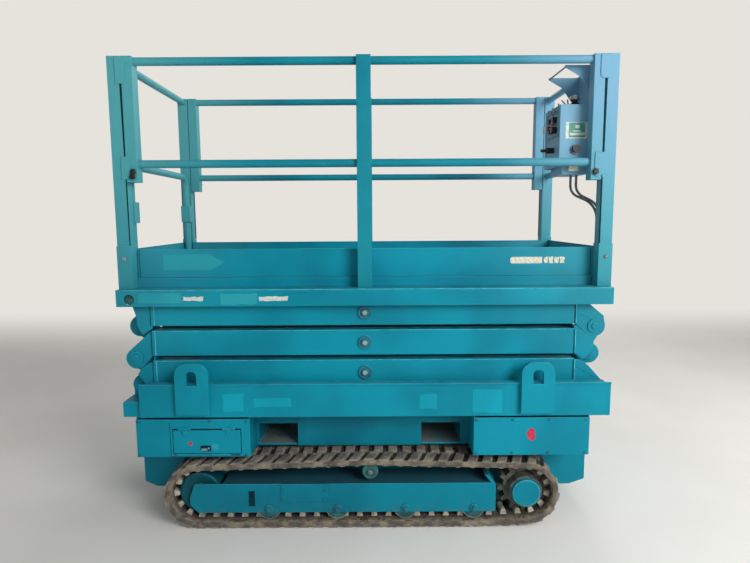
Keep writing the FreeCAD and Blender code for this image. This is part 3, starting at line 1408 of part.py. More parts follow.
def make_control_box():
    """The control box on the right end rail, with its hood, levers, switches and cables."""
    left, right = control_left_x, control_right_x
    near, far = control_near_y, control_far_y
    low, top = control_bottom_z, control_top_z
    margin, low_margin = S.panel_margin, S.panel_low_margin
    body = span("control_body", (left, right), (near, far), (low, top))
    recess = span("control_recess", (left - 1, left + S.panel_recess), (near + margin, far - margin),
                  (low + low_margin, top - low_margin))
    glands = span("control_gland_box", (left + S.gland_front, right - S.gland_back),
                  (near + S.gland_near, far - S.gland_far), (gland_bottom_z, low))
    hinge_x = right + S.hood_hinge_radius + 1
    hinge_z = top
    knuckle = S.hood_knuckle
    pieces = [cut("control_shell", body, [recess]), glands,
              rod("hood_pin", "y", hinge_x, near, hinge_z, S.hood_pin_radius, far - near)]
    for side, y in (("near", near), ("far", far - knuckle)):
        pieces.append(rod(f"hood_knuckle_{side}", "y", hinge_x, y, hinge_z, S.hood_hinge_radius, knuckle))
        pieces.append(span(f"hood_leaf_{side}", (right - 2, hinge_x), (y, y + knuckle),
                           (hinge_z - S.hood_hinge_radius * 3, hinge_z - S.hood_hinge_radius / 2)))
    node(fuse("control_box", pieces), "control_box")
    make_hood(hinge_x, hinge_z, near + knuckle + 1, far - knuckle - 1)
    plate = S.channel_plate
    seat = deck_right_x - S.post_size / 2 - S.rail_radius - S.side_play
    margin, pad_margin = S.bracket_margin, S.bracket_pad_margin
    bracket = [span("bracket_plate", (right, right + plate), (near + margin, far - margin),
                    (low - S.bracket_below, low + S.bracket_above))]
    for side, y in (("near", near + pad_margin), ("far", far - pad_margin - S.bracket_pad_width)):
        bracket.append(span(f"bracket_pad_{side}", (right + plate, seat), (y, y + S.bracket_pad_width),
                            (mid_rail_z - S.rail_radius, mid_rail_z + S.rail_radius)))
    node(fuse("box_bracket", bracket), "box_bracket")
    make_controls(left, near, low, top)
    make_cables(left, near)


def make_hood(hinge_x, hinge_z, low_y, high_y):
    """The hood stands open on its hinge: a back sheet, two tapered cheeks and a rod across their tips."""
    sheet, play = S.hood_sheet, S.hood_play
    top = control_top_z + S.hood_rise
    tip = control_left_x + S.hood_tip_inset
    near, far = control_near_y - play, control_far_y + play
    back = hinge_x + S.hood_hinge_radius - sheet
    rise = hinge_z + S.hood_hinge_radius + 2
    corners = [(back, rise), (back, top), (tip, top), (tip, top - S.hood_lip_depth),
               (tip + S.hood_cheek_low_x, top - S.hood_cheek_low_z)]
    lip_radius = as_size(4)
    bore_length = high_y - low_y + 2
    solid = fuse("hood_solid", [
        xz_slab("hood_cheek_near", near - sheet, sheet, corners),
        xz_slab("hood_cheek_far", far, sheet, corners),
        rod("hood_barrel", "y", hinge_x, low_y, hinge_z, S.hood_hinge_radius, high_y - low_y),
        span("hood_web", (back, back + sheet), (low_y, high_y), (hinge_z, rise)),
        span("hood_back", (back, back + sheet), (near - sheet, far + sheet), (rise, top)),
        rod("hood_lip", "y", tip + lip_radius * 1.5, near - sheet, top - lip_radius * 1.5, lip_radius,
            far - near + sheet * 2),
    ])
    bore = rod("hood_bore", "y", hinge_x, low_y - 1, hinge_z, S.hood_pin_radius + S.pin_play, bore_length)
    node(cut("hood", solid, [bore]), "hood")


def make_controls(left, near, low, top):
    """The joystick and the toggle on the box's top, and the switches on its front and side."""
    levers = []
    # name, distance behind the front, distance from the near side, then rows of start height, radius and length
    for name, dx, dy, rounds in (
        ("joystick", 80, 70, ((0, 24, 16), (0, 5, 40), (34, 15, 24))),
        ("toggle", 50, 150, ((0, 12, 8), (0, 4, 34))),
    ):
        stack = [rod(f"{name}_{i + 1}", "z", left + dx, near + dy, top + rise, as_size(radius), as_size(length))
                 for i, (rise, radius, length) in enumerate(rounds)]
        levers.append(fuse(name, stack))
    node(group("control_levers", levers), "control_levers")
    switches = []
    # distance from the near side, distance below the top, radius and length of each switch on the front
    for i, (dy, drop, radius, length) in enumerate((
        (70, 60, 13, 22), (130, 60, 13, 22), (70, 110, 16, 26), (130, 110, 11, 18), (100, 205, 14, 40),
    )):
        switches.append(rod(f"switch_{i + 1}", "x", left + S.panel_recess - length, near + dy, top - drop,
                            as_size(radius), as_size(length)))
    switches.append(rod("side_knob", "y", left + S.side_knob_x, near - S.side_knob_length, low + S.side_knob_z,
                        S.side_knob_radius, S.side_knob_length))
    node(group("panel_switches", switches), "panel_switches")


def rounded_route(points, share):
    """One wire of straight runs joined by arcs that touch them, with the arcs' radii."""
    edges = []
    radii = []
    start = points[0]
    for before, corner, after in zip(points, points[1:], points[2:]):
        back = before - corner
        ahead = after - corner
        turn = math.pi - back.getAngle(ahead)
        reach = share * min(back.Length, ahead.Length)
        back.normalize()
        ahead.normalize()
        radius = reach / math.tan(turn / 2)
        radii.append(radius)
        bisector = back + ahead
        bisector.normalize()
        enter = corner + back * reach
        leave = corner + ahead * reach
        middle = corner + bisector * (math.hypot(radius, reach) - radius)
        edges.append(Part.LineSegment(start, enter).toShape())
        edges.append(Part.Arc(enter, middle, leave).toShape())
        start = leave
    edges.append(Part.LineSegment(start, points[-1]).toShape())
    return Part.Wire(edges), radii


def make_cables(left, near):
    """Two control cables from the gland box to the corner post and down its inner face to the deck."""
    radius = S.cable_radius
    post_y = -(post_face_y - S.post_size - S.socket_wall - S.side_play) + radius
    gland_z = gland_bottom_z
    # distance behind the box's front, distance from its near side, distance of the run down the post from its edge
    for i, (dx, dy, run) in enumerate(((106, 55, 26), (88, 82, 10))):
        x, y = left + dx, near + dy
        post_x = deck_right_x - S.post_size + run
        route = [
            (x, y, gland_z), (x, y, gland_z - S.cable_drop),
            (post_x, post_y, gland_z - S.cable_drop - S.cable_fall), (post_x, post_y, deck_top_z),
        ]
        points = [FreeCAD.Vector(*(as_size(value).value for value in spot)) for spot in route]
        wire, radii = rounded_route(points, SIZES["cable_bend_share"])
        ring = Part.Wire(Part.Circle(points[0], FreeCAD.Vector(0, 0, 1), radius.value).toShape())
        shape = wire.makePipeShell([ring], True, False)
        area = math.pi * radius.value ** 2
        if abs(shape.Volume / (area * wire.Length) - 1) > 0.01:
            raise ValueError("a cable's volume differs from its section times its length")
        print(f"cable {i + 1}: length {wire.Length:.0f}, arc radii", [round(r) for r in radii])
        CABLES.append(doc.addObject("Part::Feature", f"control_cable_{i + 1}"))
        CABLES[-1].Shape = shape
    node(group("control_cables", CABLES), "control_cables")


make_outer_arms()
make_inner_arms()
make_cylinder()
make_rollers()
make_base()
make_lifting_lugs()
make_hull()
make_boxes()
make_covers()
make_wheels()
make_track_frames()
make_tracks()
make_deck()
make_posts()
make_side_rails()
make_end_rails()
make_toe_boards()
make_control_box()
doc.recompute()

for thing in doc.Objects:
    if "Invalid" in thing.State or "Error" in thing.State:
        raise ValueError(f"{thing.Name} failed to build: {thing.State}")
for thing in NODES:
    if thing.Shape.isNull() or not thing.Shape.isValid():
        raise ValueError(f"{thing.Label} has no valid shape")
for thing in NODES:
    thing.Shape.exportStep(f"parts/{thing.Label}.step")
    print(thing.Label, len(thing.Shape.Solids), round(thing.Shape.Volume / 1e6, 2))
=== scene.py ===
"""Looks of the tracked scissor lift: materials, fine pieces, stage, light and camera."""
import math
import random

import bmesh
import bpy
from mathutils import Matrix, Vector


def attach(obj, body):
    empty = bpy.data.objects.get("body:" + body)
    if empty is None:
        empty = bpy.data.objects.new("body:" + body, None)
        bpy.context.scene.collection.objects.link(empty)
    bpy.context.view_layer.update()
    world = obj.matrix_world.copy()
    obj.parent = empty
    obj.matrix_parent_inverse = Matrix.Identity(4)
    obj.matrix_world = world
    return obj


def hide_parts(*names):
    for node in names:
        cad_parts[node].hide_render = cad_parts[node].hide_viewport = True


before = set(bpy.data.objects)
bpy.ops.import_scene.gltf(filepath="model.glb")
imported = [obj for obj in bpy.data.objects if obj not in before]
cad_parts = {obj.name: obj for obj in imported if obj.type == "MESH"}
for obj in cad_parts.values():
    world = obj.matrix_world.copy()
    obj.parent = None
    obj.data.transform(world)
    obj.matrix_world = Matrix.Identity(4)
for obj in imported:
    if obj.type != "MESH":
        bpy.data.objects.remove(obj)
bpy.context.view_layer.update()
random.seed(11)

# Camera, found from the photograph: place, pitch down, yaw, roll and focal length in pixels of a 750 px frame
CAMERA_PLACE = (0.0461, -3.0739, 1.5149)
CAMERA_PITCH, CAMERA_YAW, CAMERA_ROLL = 6.62, 0.044, -0.337
FOCAL_PIXELS, FRAME_PIXELS = 544.34, 750


# ---------------------------------------------------------------- materials

def colour(text):
    """A colour written as sRGB hex, as linear values for the shaders."""
    parts = [int(text[i:i + 2], 16) / 255 for i in (1, 3, 5)]
    return [c / 12.92 if c <= 0.04045 else ((c + 0.055) / 1.055) ** 2.4 for c in parts] + [1.0]


def per_mm(size):
    """The texture scale at which a pattern repeats about every so many millimetres."""
    return 1000.0 / size


def add(tree, kind, inputs=None, **settings):
    """Adds a node with its settings; inputs are constants or other nodes' sockets."""
    new = tree.nodes.new(kind)
    for name, value in settings.items():
        setattr(new, name, value)
    for name, value in (inputs or {}).items():
        socket = new.inputs[name]
        if isinstance(value, bpy.types.NodeSocket):
            tree.links.new(value, socket)
        else:
            socket.default_value = value
    return new


def maths(tree, operation, a, b=0.0, clamp=False):
    return add(tree, "ShaderNodeMath", {0: a, 1: b}, operation=operation, use_clamp=clamp).outputs[0]


def mix(tree, share, a, b):
    return add(tree, "ShaderNodeMix", {0: share, 6: a, 7: b}, data_type="RGBA").outputs[2]


def ramp(tree, value, low, high):
    """0 below low, 1 above high, smooth between; low may be the larger."""
    return add(tree, "ShaderNodeMapRange", {"Value": value, "From Min": low, "From Max": high},
               interpolation_type="SMOOTHSTEP").outputs[0]


class Surface:
    """A material's tree with what its patterns start from: place, facing and rounded edges."""

    def __init__(self, name, bevel_mm=1.5):
        self.material = bpy.data.materials.new(name)
        self.material.use_nodes = True
        self.tree = self.material.node_tree
        self.tree.nodes.clear()
        self.place = add(self.tree, "ShaderNodeTexCoord").outputs["Object"]
        self.x, _, self.z = add(self.tree, "ShaderNodeSeparateXYZ", {0: self.place}).outputs
        true = add(self.tree, "ShaderNodeNewGeometry").outputs["True Normal"]
        facing = add(self.tree, "ShaderNodeSeparateXYZ", {0: true}).outputs
        self.up = facing[2]
        self.side = maths(self.tree, "ABSOLUTE", facing[1])
        self.round = add(self.tree, "ShaderNodeBevel", {"Radius": bevel_mm / 1000}, samples=4).outputs[0]
        along = add(self.tree, "ShaderNodeVectorMath", {0: self.round, 1: true},
                    operation="DOT_PRODUCT").outputs[1]
        self.edge = ramp(self.tree, along, 0.995, 0.90)
        # rounded edges that face up, which get a painted highlight
        self.highlight_crest = self.both(self.edge, ramp(
            self.tree, add(self.tree, "ShaderNodeSeparateXYZ", {0: self.round}).outputs[2], 0.15, 0.5))

    def noise(self, size, detail=3.0, rough=0.55, stretch=None):
        """Noise with blobs of about so many millimetres; stretch scales the axes first."""
        place = self.place
        if stretch:
            place = add(self.tree, "ShaderNodeMapping", {"Vector": place, "Scale": stretch}).outputs[0]
        return add(self.tree, "ShaderNodeTexNoise", {
            "Vector": place, "Scale": per_mm(size), "Detail": detail, "Roughness": rough}).outputs[0]

    def band(self, value, low, high):
        """Where a value lies past low towards high, as a share."""
        return ramp(self.tree, value, low, high)

    def layer(self, base, top, share):
        """Lays the top colour over the base, by a share between 0 and 1."""
        return mix(self.tree, share, base, top)

    def both(self, a, b):
        return maths(self.tree, "MULTIPLY", a, b)

    def scaled(self, a, factor):
        return maths(self.tree, "MULTIPLY", a, factor, True)

    def finish(self, base, roughness, bump=None, bump_mm=0.2, metallic=0.0, specular=0.5):
        """Ends the tree in a principled shader, with rounded edges and grain of the given height."""
        normal = self.round
        if bump is not None:
            normal = add(self.tree, "ShaderNodeBump", {
                "Height": bump, "Distance": bump_mm / 1000, "Strength": 1.0, "Normal": self.round}).outputs[0]
        shader = add(self.tree, "ShaderNodeBsdfPrincipled", {
            "Base Color": base, "Roughness": roughness, "Metallic": metallic, "Specular IOR Level": specular,
            "Normal": normal})
        out = add(self.tree, "ShaderNodeOutputMaterial")
        self.tree.links.new(shader.outputs[0], out.inputs[0])
        return self.material


def painted(name, paint, dark, chalk_and_painted_light=0.5, dust=0.3, streaks=0.18, worn="#45C2D2", level="#5FA3AC",
            caked_dust_and_shade=0.0):
    """Brushed-on enamel over steel: cloudy, paler towards both ends and the upper right (partly chalked
    paint, partly painted light), worn bright on edges with a painted highlight on edges that face up, some
    chips.

    dust is blotchy, and an even coat, both in the level colour on faces that look up; where that colour is
    dark, as on the running gear, it is partly painted shade.
    """
    s = Surface(name, 3.0)
    base = s.layer(colour(dark), colour(paint), s.band(s.noise(420, 2), 0.36, 0.62))
    # paler and bluer towards both ends, higher up and to the upper right: partly chalked paint, partly
    # painted light
    ends = s.band(maths(s.tree, "ABSOLUTE", s.x), 0.45, 1.15)
    high = s.band(s.z, 0.62, 2.1)
    pale = s.layer(colour("#5FAFB4"), colour("#83B2D2"),
                   s.both(s.band(s.x, -0.4, 0.9), s.band(s.z, 1.1, 2.2)))
    base = s.layer(base, pale, s.scaled(s.both(ends, high), chalk_and_painted_light))
    streak = s.band(s.noise(130, 4, 0.6, (1.0, 1.0, 0.22)), 0.54, 0.78)
    base = s.layer(base, colour("#1C9BAE"), s.scaled(streak, streaks))
    base = s.layer(base, colour(dark), s.scaled(s.band(s.noise(9, 3, 0.7), 0.60, 0.80), 0.30))
    top = s.both(s.band(s.up, 0.5, 0.9), s.band(s.noise(70, 4), 0.28, 0.66))
    base = s.layer(base, colour(level), s.scaled(top, dust))
    # an even coat on faces that look up; a dark level colour here is partly dust, partly painted shade
    base = s.layer(base, colour(level), s.scaled(s.band(s.up, 0.5, 0.9), caked_dust_and_shade))
    splash = s.both(s.band(s.z, 0.16, 0.05), s.band(s.noise(45, 5, 0.65), 0.44, 0.70))
    base = s.layer(base, colour("#5E6358"), s.scaled(splash, 0.35))
    base = s.layer(base, colour(worn), s.scaled(s.both(s.edge, s.band(s.noise(38, 4), 0.38, 0.66)), 0.40))
    # pale cyan along edges that face up: painted highlight, partly worn paint
    worn_and_highlight = s.both(s.highlight_crest, s.band(s.noise(160, 3), 0.30, 0.50))
    base = s.layer(base, colour("#66D3DE"), s.scaled(worn_and_highlight, 0.60))
    chip = s.both(s.edge, s.band(s.noise(7, 3, 0.7), 0.68, 0.76))
    base = s.layer(base, colour("#5B4634"), s.scaled(chip, 0.8))
    rough = maths(s.tree, "ADD", 0.40, s.scaled(s.noise(26, 3), 0.22))
    bump = maths(s.tree, "ADD", s.noise(5, 2), s.scaled(s.noise(240, 2), 1.0))
    return s.finish(base, rough, bump, 0.25, specular=0.14)


def rubber(name, base_hex, pale_hex, dust_hex, dust=0.5, worn="#8F836F", flank=None):
    """Track rubber, grey with dry dust in its hollows and tan where its edges rub; flanks may be paler."""
    s = Surface(name, 2.0)
    base = s.layer(colour(base_hex), colour(pale_hex), s.band(s.noise(90, 4), 0.36, 0.68))
    if flank:
        base = s.layer(base, s.layer(colour(flank), colour(dust_hex), s.band(s.noise(60, 4), 0.40, 0.66)),
                       s.band(s.side, 0.4, 0.8))
    base = s.layer(base, colour(base_hex), s.scaled(s.band(s.noise(6, 4, 0.7), 0.50, 0.72), 0.6))
    base = s.layer(base, colour(dust_hex), s.scaled(s.band(s.noise(28, 5, 0.65), 0.48, 0.70), dust))
    base = s.layer(base, colour(worn), s.scaled(s.both(s.edge, s.band(s.noise(22, 3), 0.34, 0.60)), 0.75))
    base = s.layer(base, colour("#302B28"), s.scaled(s.band(s.noise(48, 5, 0.7), 0.62, 0.74), 0.7))
    return s.finish(base, 0.9, s.noise(4, 4, 0.7), 0.5, specular=0.18)


def metal(name, base_hex, dark_hex, rust_hex, rough=0.45, metallic=0.75, rust=0.4):
    """Bare or worn steel with dirt in patches and rust in small spots."""
    s = Surface(name, 0.8)
    base = s.layer(colour(dark_hex), colour(base_hex), s.band(s.noise(36, 4), 0.34, 0.62))
    base = s.layer(base, colour(rust_hex), s.scaled(s.band(s.noise(15, 5, 0.7), 0.55, 0.70), rust))
    roughness = maths(s.tree, "ADD", rough, s.scaled(s.noise(12, 3), 0.25))
    return s.finish(base, roughness, s.noise(3, 3), 0.15, metallic=metallic)


def plain(name, base_hex, dark_hex, rough=0.5, size=14, bump_mm=0.1, specular=0.4):
    """Moulded plastic, sheathing or print: one colour with faint clouding and fine grain."""
    s = Surface(name, 0.8)
    base = s.layer(colour(dark_hex), colour(base_hex), s.band(s.noise(size, 4), 0.35, 0.65))
    return s.finish(base, rough, s.noise(1.5, 3), bump_mm, specular=specular)


MATERIALS = {
    # enamel on the whole machine
    "teal_enamel": painted("teal_enamel", "#058FA6", "#047F95"),
    # the same enamel on posts and rails, paler towards the ends and the upper right: partly chalked where the
    # sun reaches, partly painted light
    "railing_enamel": painted("railing_enamel", "#16899B", "#0F7C8F", chalk_and_painted_light=0.75, dust=0.2),
    # the same enamel on the running gear and hull, its faces that look up a dark slate: partly dust, partly
    # painted shade
    "low_enamel": painted("low_enamel", "#058095", "#046F84", chalk_and_painted_light=0.0, dust=0.2, streaks=0.10,
                          level="#2C4452", caked_dust_and_shade=0.75),
    # the same enamel where it is dark with old grease, its faces that look up darker still: partly dust,
    # partly painted shade
    "greasy_enamel": painted("greasy_enamel", "#0E5A68", "#093F4C", chalk_and_painted_light=0.0, dust=0.3, streaks=0.1,
                             worn="#3C8F98", level="#123D50", caked_dust_and_shade=0.4),
    # the fork pockets, with dry dust on their floors
    "pocket_enamel": painted("pocket_enamel", "#058095", "#046F84", chalk_and_painted_light=0.0, dust=0.6, level="#8B806B",
                             caked_dust_and_shade=0.35),
    # chalked grey-blue enamel of the control box and its hood
    "chalked_enamel": painted("chalked_enamel", "#7AA9C3", "#6798B2", chalk_and_painted_light=0.2, dust=0.1, worn="#B5D5E0"),
    # patches painted again later, in a fresher teal
    "repaint_enamel": painted("repaint_enamel", "#0CA0B6", "#0893AA", chalk_and_painted_light=0.1),
    # faded patches where stickers have come off
    "faded_enamel": painted("faded_enamel", "#2BA0AC", "#1F95A3", chalk_and_painted_light=0.2),
    # worn edges and weld seams, worn to a pale cyan; its beads along top edges are painted highlights
    "worn_and_highlight_enamel": plain("worn_and_highlight_enamel", "#56C6D6", "#30A6B7", 0.5, 60, specular=0.2),
    # painted seams and folds, where dirt sits in the joint; the same dark also makes the painted shadows
    # under the door and under the toe board's lower edge
    "seam_and_shadow_enamel": plain("seam_and_shadow_enamel", "#0A5868", "#074553", 0.6, 40, specular=0.1),
    # rims of the rollers, worn pale by the belt
    "worn_rim": metal("worn_rim", "#A3AC9F", "#6F8580", "#6A5846", 0.5, 0.2, 0.3),
    # moulded rubber of the lugs, grey with dust and tan where it rubs
    "lug_rubber": rubber("lug_rubber", "#645F59", "#958E84", "#A0967F", 0.55, "#BDB29C"),
    # the belts, dark brown inside, grey brown on their flanks, tan along their edges
    "belt_rubber": rubber("belt_rubber", "#3D3836", "#524B47", "#8C8372", 0.4, "#C2B799", flank="#59534D"),
    # forged cores whose teeth guide the belt, polished pale
    "core_steel": metal("core_steel", "#D0C9B9", "#9A9484", "#6E5641", 0.5, 0.2, 0.35),
    # cast rollers, dark, greenish paint worn to grey
    "roller_casting": metal("roller_casting", "#2F6A6C", "#214A50", "#57534A", 0.6, 0.1, 0.5),
    # drive wheel and its drum, grey brown dirt over casting
    "sprocket_casting": metal("sprocket_casting", "#6A6A60", "#3B3B3C", "#6A5A4A", 0.65, 0.15, 0.5),
    # ground steel of rods, rollers and pins
    "bright_steel": metal("bright_steel", "#C2C5C6", "#8E9394", "#8A6E55", 0.3, 0.9, 0.15),
    # zinc-plated bolts gone dull
    "bolt_steel": metal("bolt_steel", "#9DB0B0", "#5F7678", "#6E5138", 0.45, 0.3, 0.3),
    # bolt and pin faces painted over with the machine, dirty in patches
    "painted_bolt": metal("painted_bolt", "#0C7386", "#085A6A", "#4A4034", 0.55, 0.0, 0.15),
    # black enamel of the cylinder's barrel and the power pack
    "black_enamel": plain("black_enamel", "#202326", "#16181A", 0.4),
    # injection-moulded black knobs and switch bodies
    "black_plastic": plain("black_plastic", "#1D1E22", "#131418", 0.45),
    # red cap of a switch on the panel
    "red_plastic": plain("red_plastic", "#A8323C", "#7E222C", 0.45),
    # grey plastic of the round knob's ring
    "grey_plastic": plain("grey_plastic", "#7E92A2", "#5C7080", 0.5),
    # sheathing of the control cables
    "cable_rubber": plain("cable_rubber", "#707277", "#525459", 0.6),
    # white print on plates, dirty
    "white_print": plain("white_print", "#DDE3DC", "#B9C3BC", 0.6, 9),
    # cream sticker stock, scuffed
    "cream_sticker": plain("cream_sticker", "#E6E4CF", "#C3C4B0", 0.6, 9),
    # green field of the blank plate on the control box
    "green_print": plain("green_print", "#4FA08C", "#3F8F7C", 0.5),
    # red paint of the two marks on the covers
    "red_mark": plain("red_mark", "#D43A52", "#B83248", 0.55, specular=0.2),
    # dark joints, slots and shut lines; on the slot, the latch's recess and beside the posts it is painted
    # shade
    "dark_gap": plain("dark_gap", "#0B3642", "#062630", 0.8, specular=0.1),
    # dry oily dirt that has run down a plate
    "oil_stain": plain("oil_stain", "#1D4F57", "#123D46", 0.5),
}

# CAD nodes whose material isn't the teal enamel
NODE_MATERIALS = {
    "corner_posts": "railing_enamel", "post_sockets": "railing_enamel", "guardrail_near": "railing_enamel",
    "guardrail_far": "railing_enamel", "rail_straps": "railing_enamel", "end_rails": "railing_enamel",
    "bar_sleeves": "railing_enamel", "entry_bar": "railing_enamel",
    "track_frames": "low_enamel", "idlers": "greasy_enamel", "bottom_rollers": "roller_casting",
    "carrier_rollers": "roller_casting", "sprockets": "sprocket_casting", "hull": "low_enamel",
    "fork_pockets": "pocket_enamel", "left_box": "low_enamel", "base_rollers": "bright_steel",
    "platform_rollers": "bright_steel", "cylinder_rod": "bright_steel", "cylinder_barrel": "black_enamel",
    "latch_knobs": "black_plastic", "control_levers": "bright_steel", "panel_switches": "black_plastic",
    "power_pack": "black_enamel", "battery": "black_plastic", "control_cables": "cable_rubber",
    "hood": "chalked_enamel", "control_box": "chalked_enamel", "box_bracket": "chalked_enamel",
}

for node_name, node_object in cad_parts.items():
    chosen = MATERIALS[NODE_MATERIALS.get(node_name, "teal_enamel")]
    for material_slot in node_object.material_slots:
        material_slot.material = chosen


# ---------------------------------------------------------------- mesh code

def metres(*values):
    """Millimetres as a vector in metres."""
    return Vector([v / 1000 for v in values])


# turns from upright to the direction in which a turned form points
AXES = {
    "-x": Matrix.Rotation(-math.pi / 2, 4, "Y"), "z": Matrix.Identity(4),
    "y": Matrix.Rotation(-math.pi / 2, 4, "X"), "-y": Matrix.Rotation(math.pi / 2, 4, "X"),
}


def publish(name, mesh, material, body, smooth=32):
    """Turns mesh work into a piece that rides on a body, with soft shading below an angle."""
    data = bpy.data.meshes.new(name)
    bmesh.ops.recalc_face_normals(mesh, faces=mesh.faces)
    for edge in mesh.edges:
        if len(edge.link_faces) == 2 and edge.calc_face_angle() > math.radians(smooth):
            edge.smooth = False
    for face in mesh.faces:
        face.smooth = True
    mesh.to_mesh(data)
    mesh.free()
    data.materials.append(MATERIALS[material])
    thing = bpy.data.objects.new(name, data)
    bpy.context.scene.collection.objects.link(thing)
    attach(thing, body)
    return thing


def turned(mesh, rounds, centre, axis, sides=24):
    """A turned form, closed at both ends: rounds are (distance along the axis, radius) in mm."""
    matrix = Matrix.Translation(metres(*centre)) @ AXES[axis]
    rings = []
    for along, radius in rounds:
        ring = []
        for i in range(sides):
            angle = math.tau * i / sides
            spot = metres(radius * math.cos(angle), radius * math.sin(angle), along)
            ring.append(mesh.verts.new(matrix @ spot))
        rings.append(ring)
    for low, high in zip(rings, rings[1:]):
        for i in range(sides):
            mesh.faces.new((low[i], low[(i + 1) % sides], high[(i + 1) % sides], high[i]))
    mesh.faces.new(rings[0])
    mesh.faces.new(rings[-1])


def bolt(mesh, centre, axis="-y", radius=9, height=6, washer=True):
    """A hexagon head with a chamfered top, on a washer."""
    lift = 0
    if washer:
        turned(mesh, [(-0.5, radius * 1.35), (1.2, radius * 1.35), (1.6, radius * 1.25)], centre, axis, 20)
        lift = 1.4
    turned(mesh, [(lift, radius), (lift + height * 0.8, radius), (lift + height, radius * 0.84)],
           centre, axis, 6)


def block(mesh, low, high, bevel=0.8):
    """A block with chamfered edges between two corners."""
    made = bmesh.ops.create_cube(mesh, size=1.0)["verts"]
    low, high = metres(*low), metres(*high)
    for vert in made:
        vert.co = Vector([low[i] + (vert.co[i] + 0.5) * (high[i] - low[i]) for i in range(3)])
    edges = {edge for vert in made for edge in vert.link_edges}
    bmesh.ops.bevel(mesh, geom=list(edges), offset=bevel / 1000, segments=1, affect="EDGES")


def plate(mesh, outline, y0, y1):
    """A flat plate with the given outline of (x, z) corners, between two depths."""
    back = [mesh.verts.new(metres(px, y0, pz)) for px, pz in outline]
    front = [mesh.verts.new(metres(px, y1, pz)) for px, pz in outline]
    mesh.faces.new(back)
    mesh.faces.new(front)
    for i in range(len(outline)):
        j = (i + 1) % len(outline)
        mesh.faces.new((back[i], back[j], front[j], front[i]))


def flake(mesh, x, z, y, side, thick=0.5, ragged=0.0, steps=5):
    """A thin film on an upright face: its outline wanders by ragged mm; side is -1 near, 1 far."""
    corners = [(x[0], z[0]), (x[1], z[0]), (x[1], z[1]), (x[0], z[1])]
    outline = []
    for (x0, z0), (x1, z1) in zip(corners, corners[1:] + corners[:1]):
        for i in range(steps):
            share = i / steps
            outline.append((x0 + (x1 - x0) * share + random.uniform(-ragged, ragged),
                            z0 + (z1 - z0) * share + random.uniform(-ragged, ragged)))
    plate(mesh, outline, y, y + side * thick)


def bead(mesh, start, end, radius=2.5, sides=8, wave=0.0):
    """A weld bead or thin rod between two places, its thickness rippling by wave."""
    a, b = metres(*start), metres(*end)
    along = (b - a).normalized()
    across = along.orthogonal().normalized()
    other = along.cross(across)
    count = max(2, int((b - a).length * 1000 / 7)) if wave else 2
    rings = []
    for i in range(count):
        share = i / (count - 1)
        r = radius * (1 + wave * math.sin(i * 2.4)) / 1000
        centre = a + (b - a) * share
        rings.append([mesh.verts.new(centre + (across * math.cos(t) + other * math.sin(t)) * r)
                      for t in (math.tau * k / sides for k in range(sides))])
    for low, high in zip(rings, rings[1:]):
        for i in range(sides):
            mesh.faces.new((low[i], low[(i + 1) % sides], high[(i + 1) % sides], high[i]))
    mesh.faces.new(rings[0])
    mesh.faces.new(rings[-1])


def between(side, a, b):
    """Two depths of one side of the machine, the lower first."""
    return sorted((side * a, side * b))


def many(name, material, body, makers):
    """One piece from many calls of the mesh functions, given as (function, arguments)."""
    mesh = bmesh.new()
    for make, arguments in makers:
        make(mesh, **arguments)
    return publish(name, mesh, material, body)


# ---------------------------------------------------------------- tracks

# sizes of a lug in mm, its length along the belt at foot and top
LUG = {"length": 47, "top": 41, "width": 92, "skew": 30, "height": 14, "inset": 1.5}
# a belt from its inner edge outwards, in mm
BELT = {"inner": 350, "width": 200, "thick": 20, "play": 0.3, "links": 57}
# wheels that carry the belt: x, z, radius
IDLER, LAST_ROLLER = (-826, 165.3, 131), (529, 92.3, 58)
SPROCKET, CARRIER = (784, 172.3, 128), (19, 281.3, 40)
# a flank's section from the outer face to the inner: share of half the width, share of half the thickness
FLANK = ((0.86, 1.0), (0.90, 1.55), (0.955, 1.9), (0.99, 1.6),
         (1.0, 0.9), (1.0, -0.35), (0.985, -0.8), (0.96, -1.0))
# a guide tooth: depth under the belt's inner face, length, inset of its flanks
TOOTH = ((-2, 32, 0), (9, 27, 0), (22, 21, 1), (26, 18, 2), (27, 14, 4))
# the low bar between two teeth: depth, length
CORE = ((-2, 26), (10, 18), (12, 14))
STATIONS_PER_LINK = 6


def belt_runs(extra):
    """The belt's middle line as straight runs and arcs round its four wheels, in mm."""
    rings = [(x, z, r + extra) for x, z, r in (IDLER, LAST_ROLLER, SPROCKET, CARRIER)]
    lines = []
    for a, b in zip(rings, rings[1:] + rings[:1]):
        dx, dz = b[0] - a[0], b[1] - a[1]
        turn = math.atan2(dz, dx) - math.acos((a[2] - b[2]) / math.hypot(dx, dz))
        nx, nz = math.cos(turn), math.sin(turn)
        lines.append(((a[0] + a[2] * nx, a[1] + a[2] * nz), (b[0] + b[2] * nx, b[1] + b[2] * nz)))
    runs = []
    for i, (start, end) in enumerate(lines):
        ring = rings[(i + 1) % 4]
        leave = lines[(i + 1) % 4][0]
        first = math.atan2(end[1] - ring[1], end[0] - ring[0])
        sweep = (math.atan2(leave[1] - ring[1], leave[0] - ring[0]) - first) % math.tau
        runs.append(("line", start, end, math.dist(start, end)))
        runs.append(("arc", ring, first, sweep * ring[2]))
    return runs


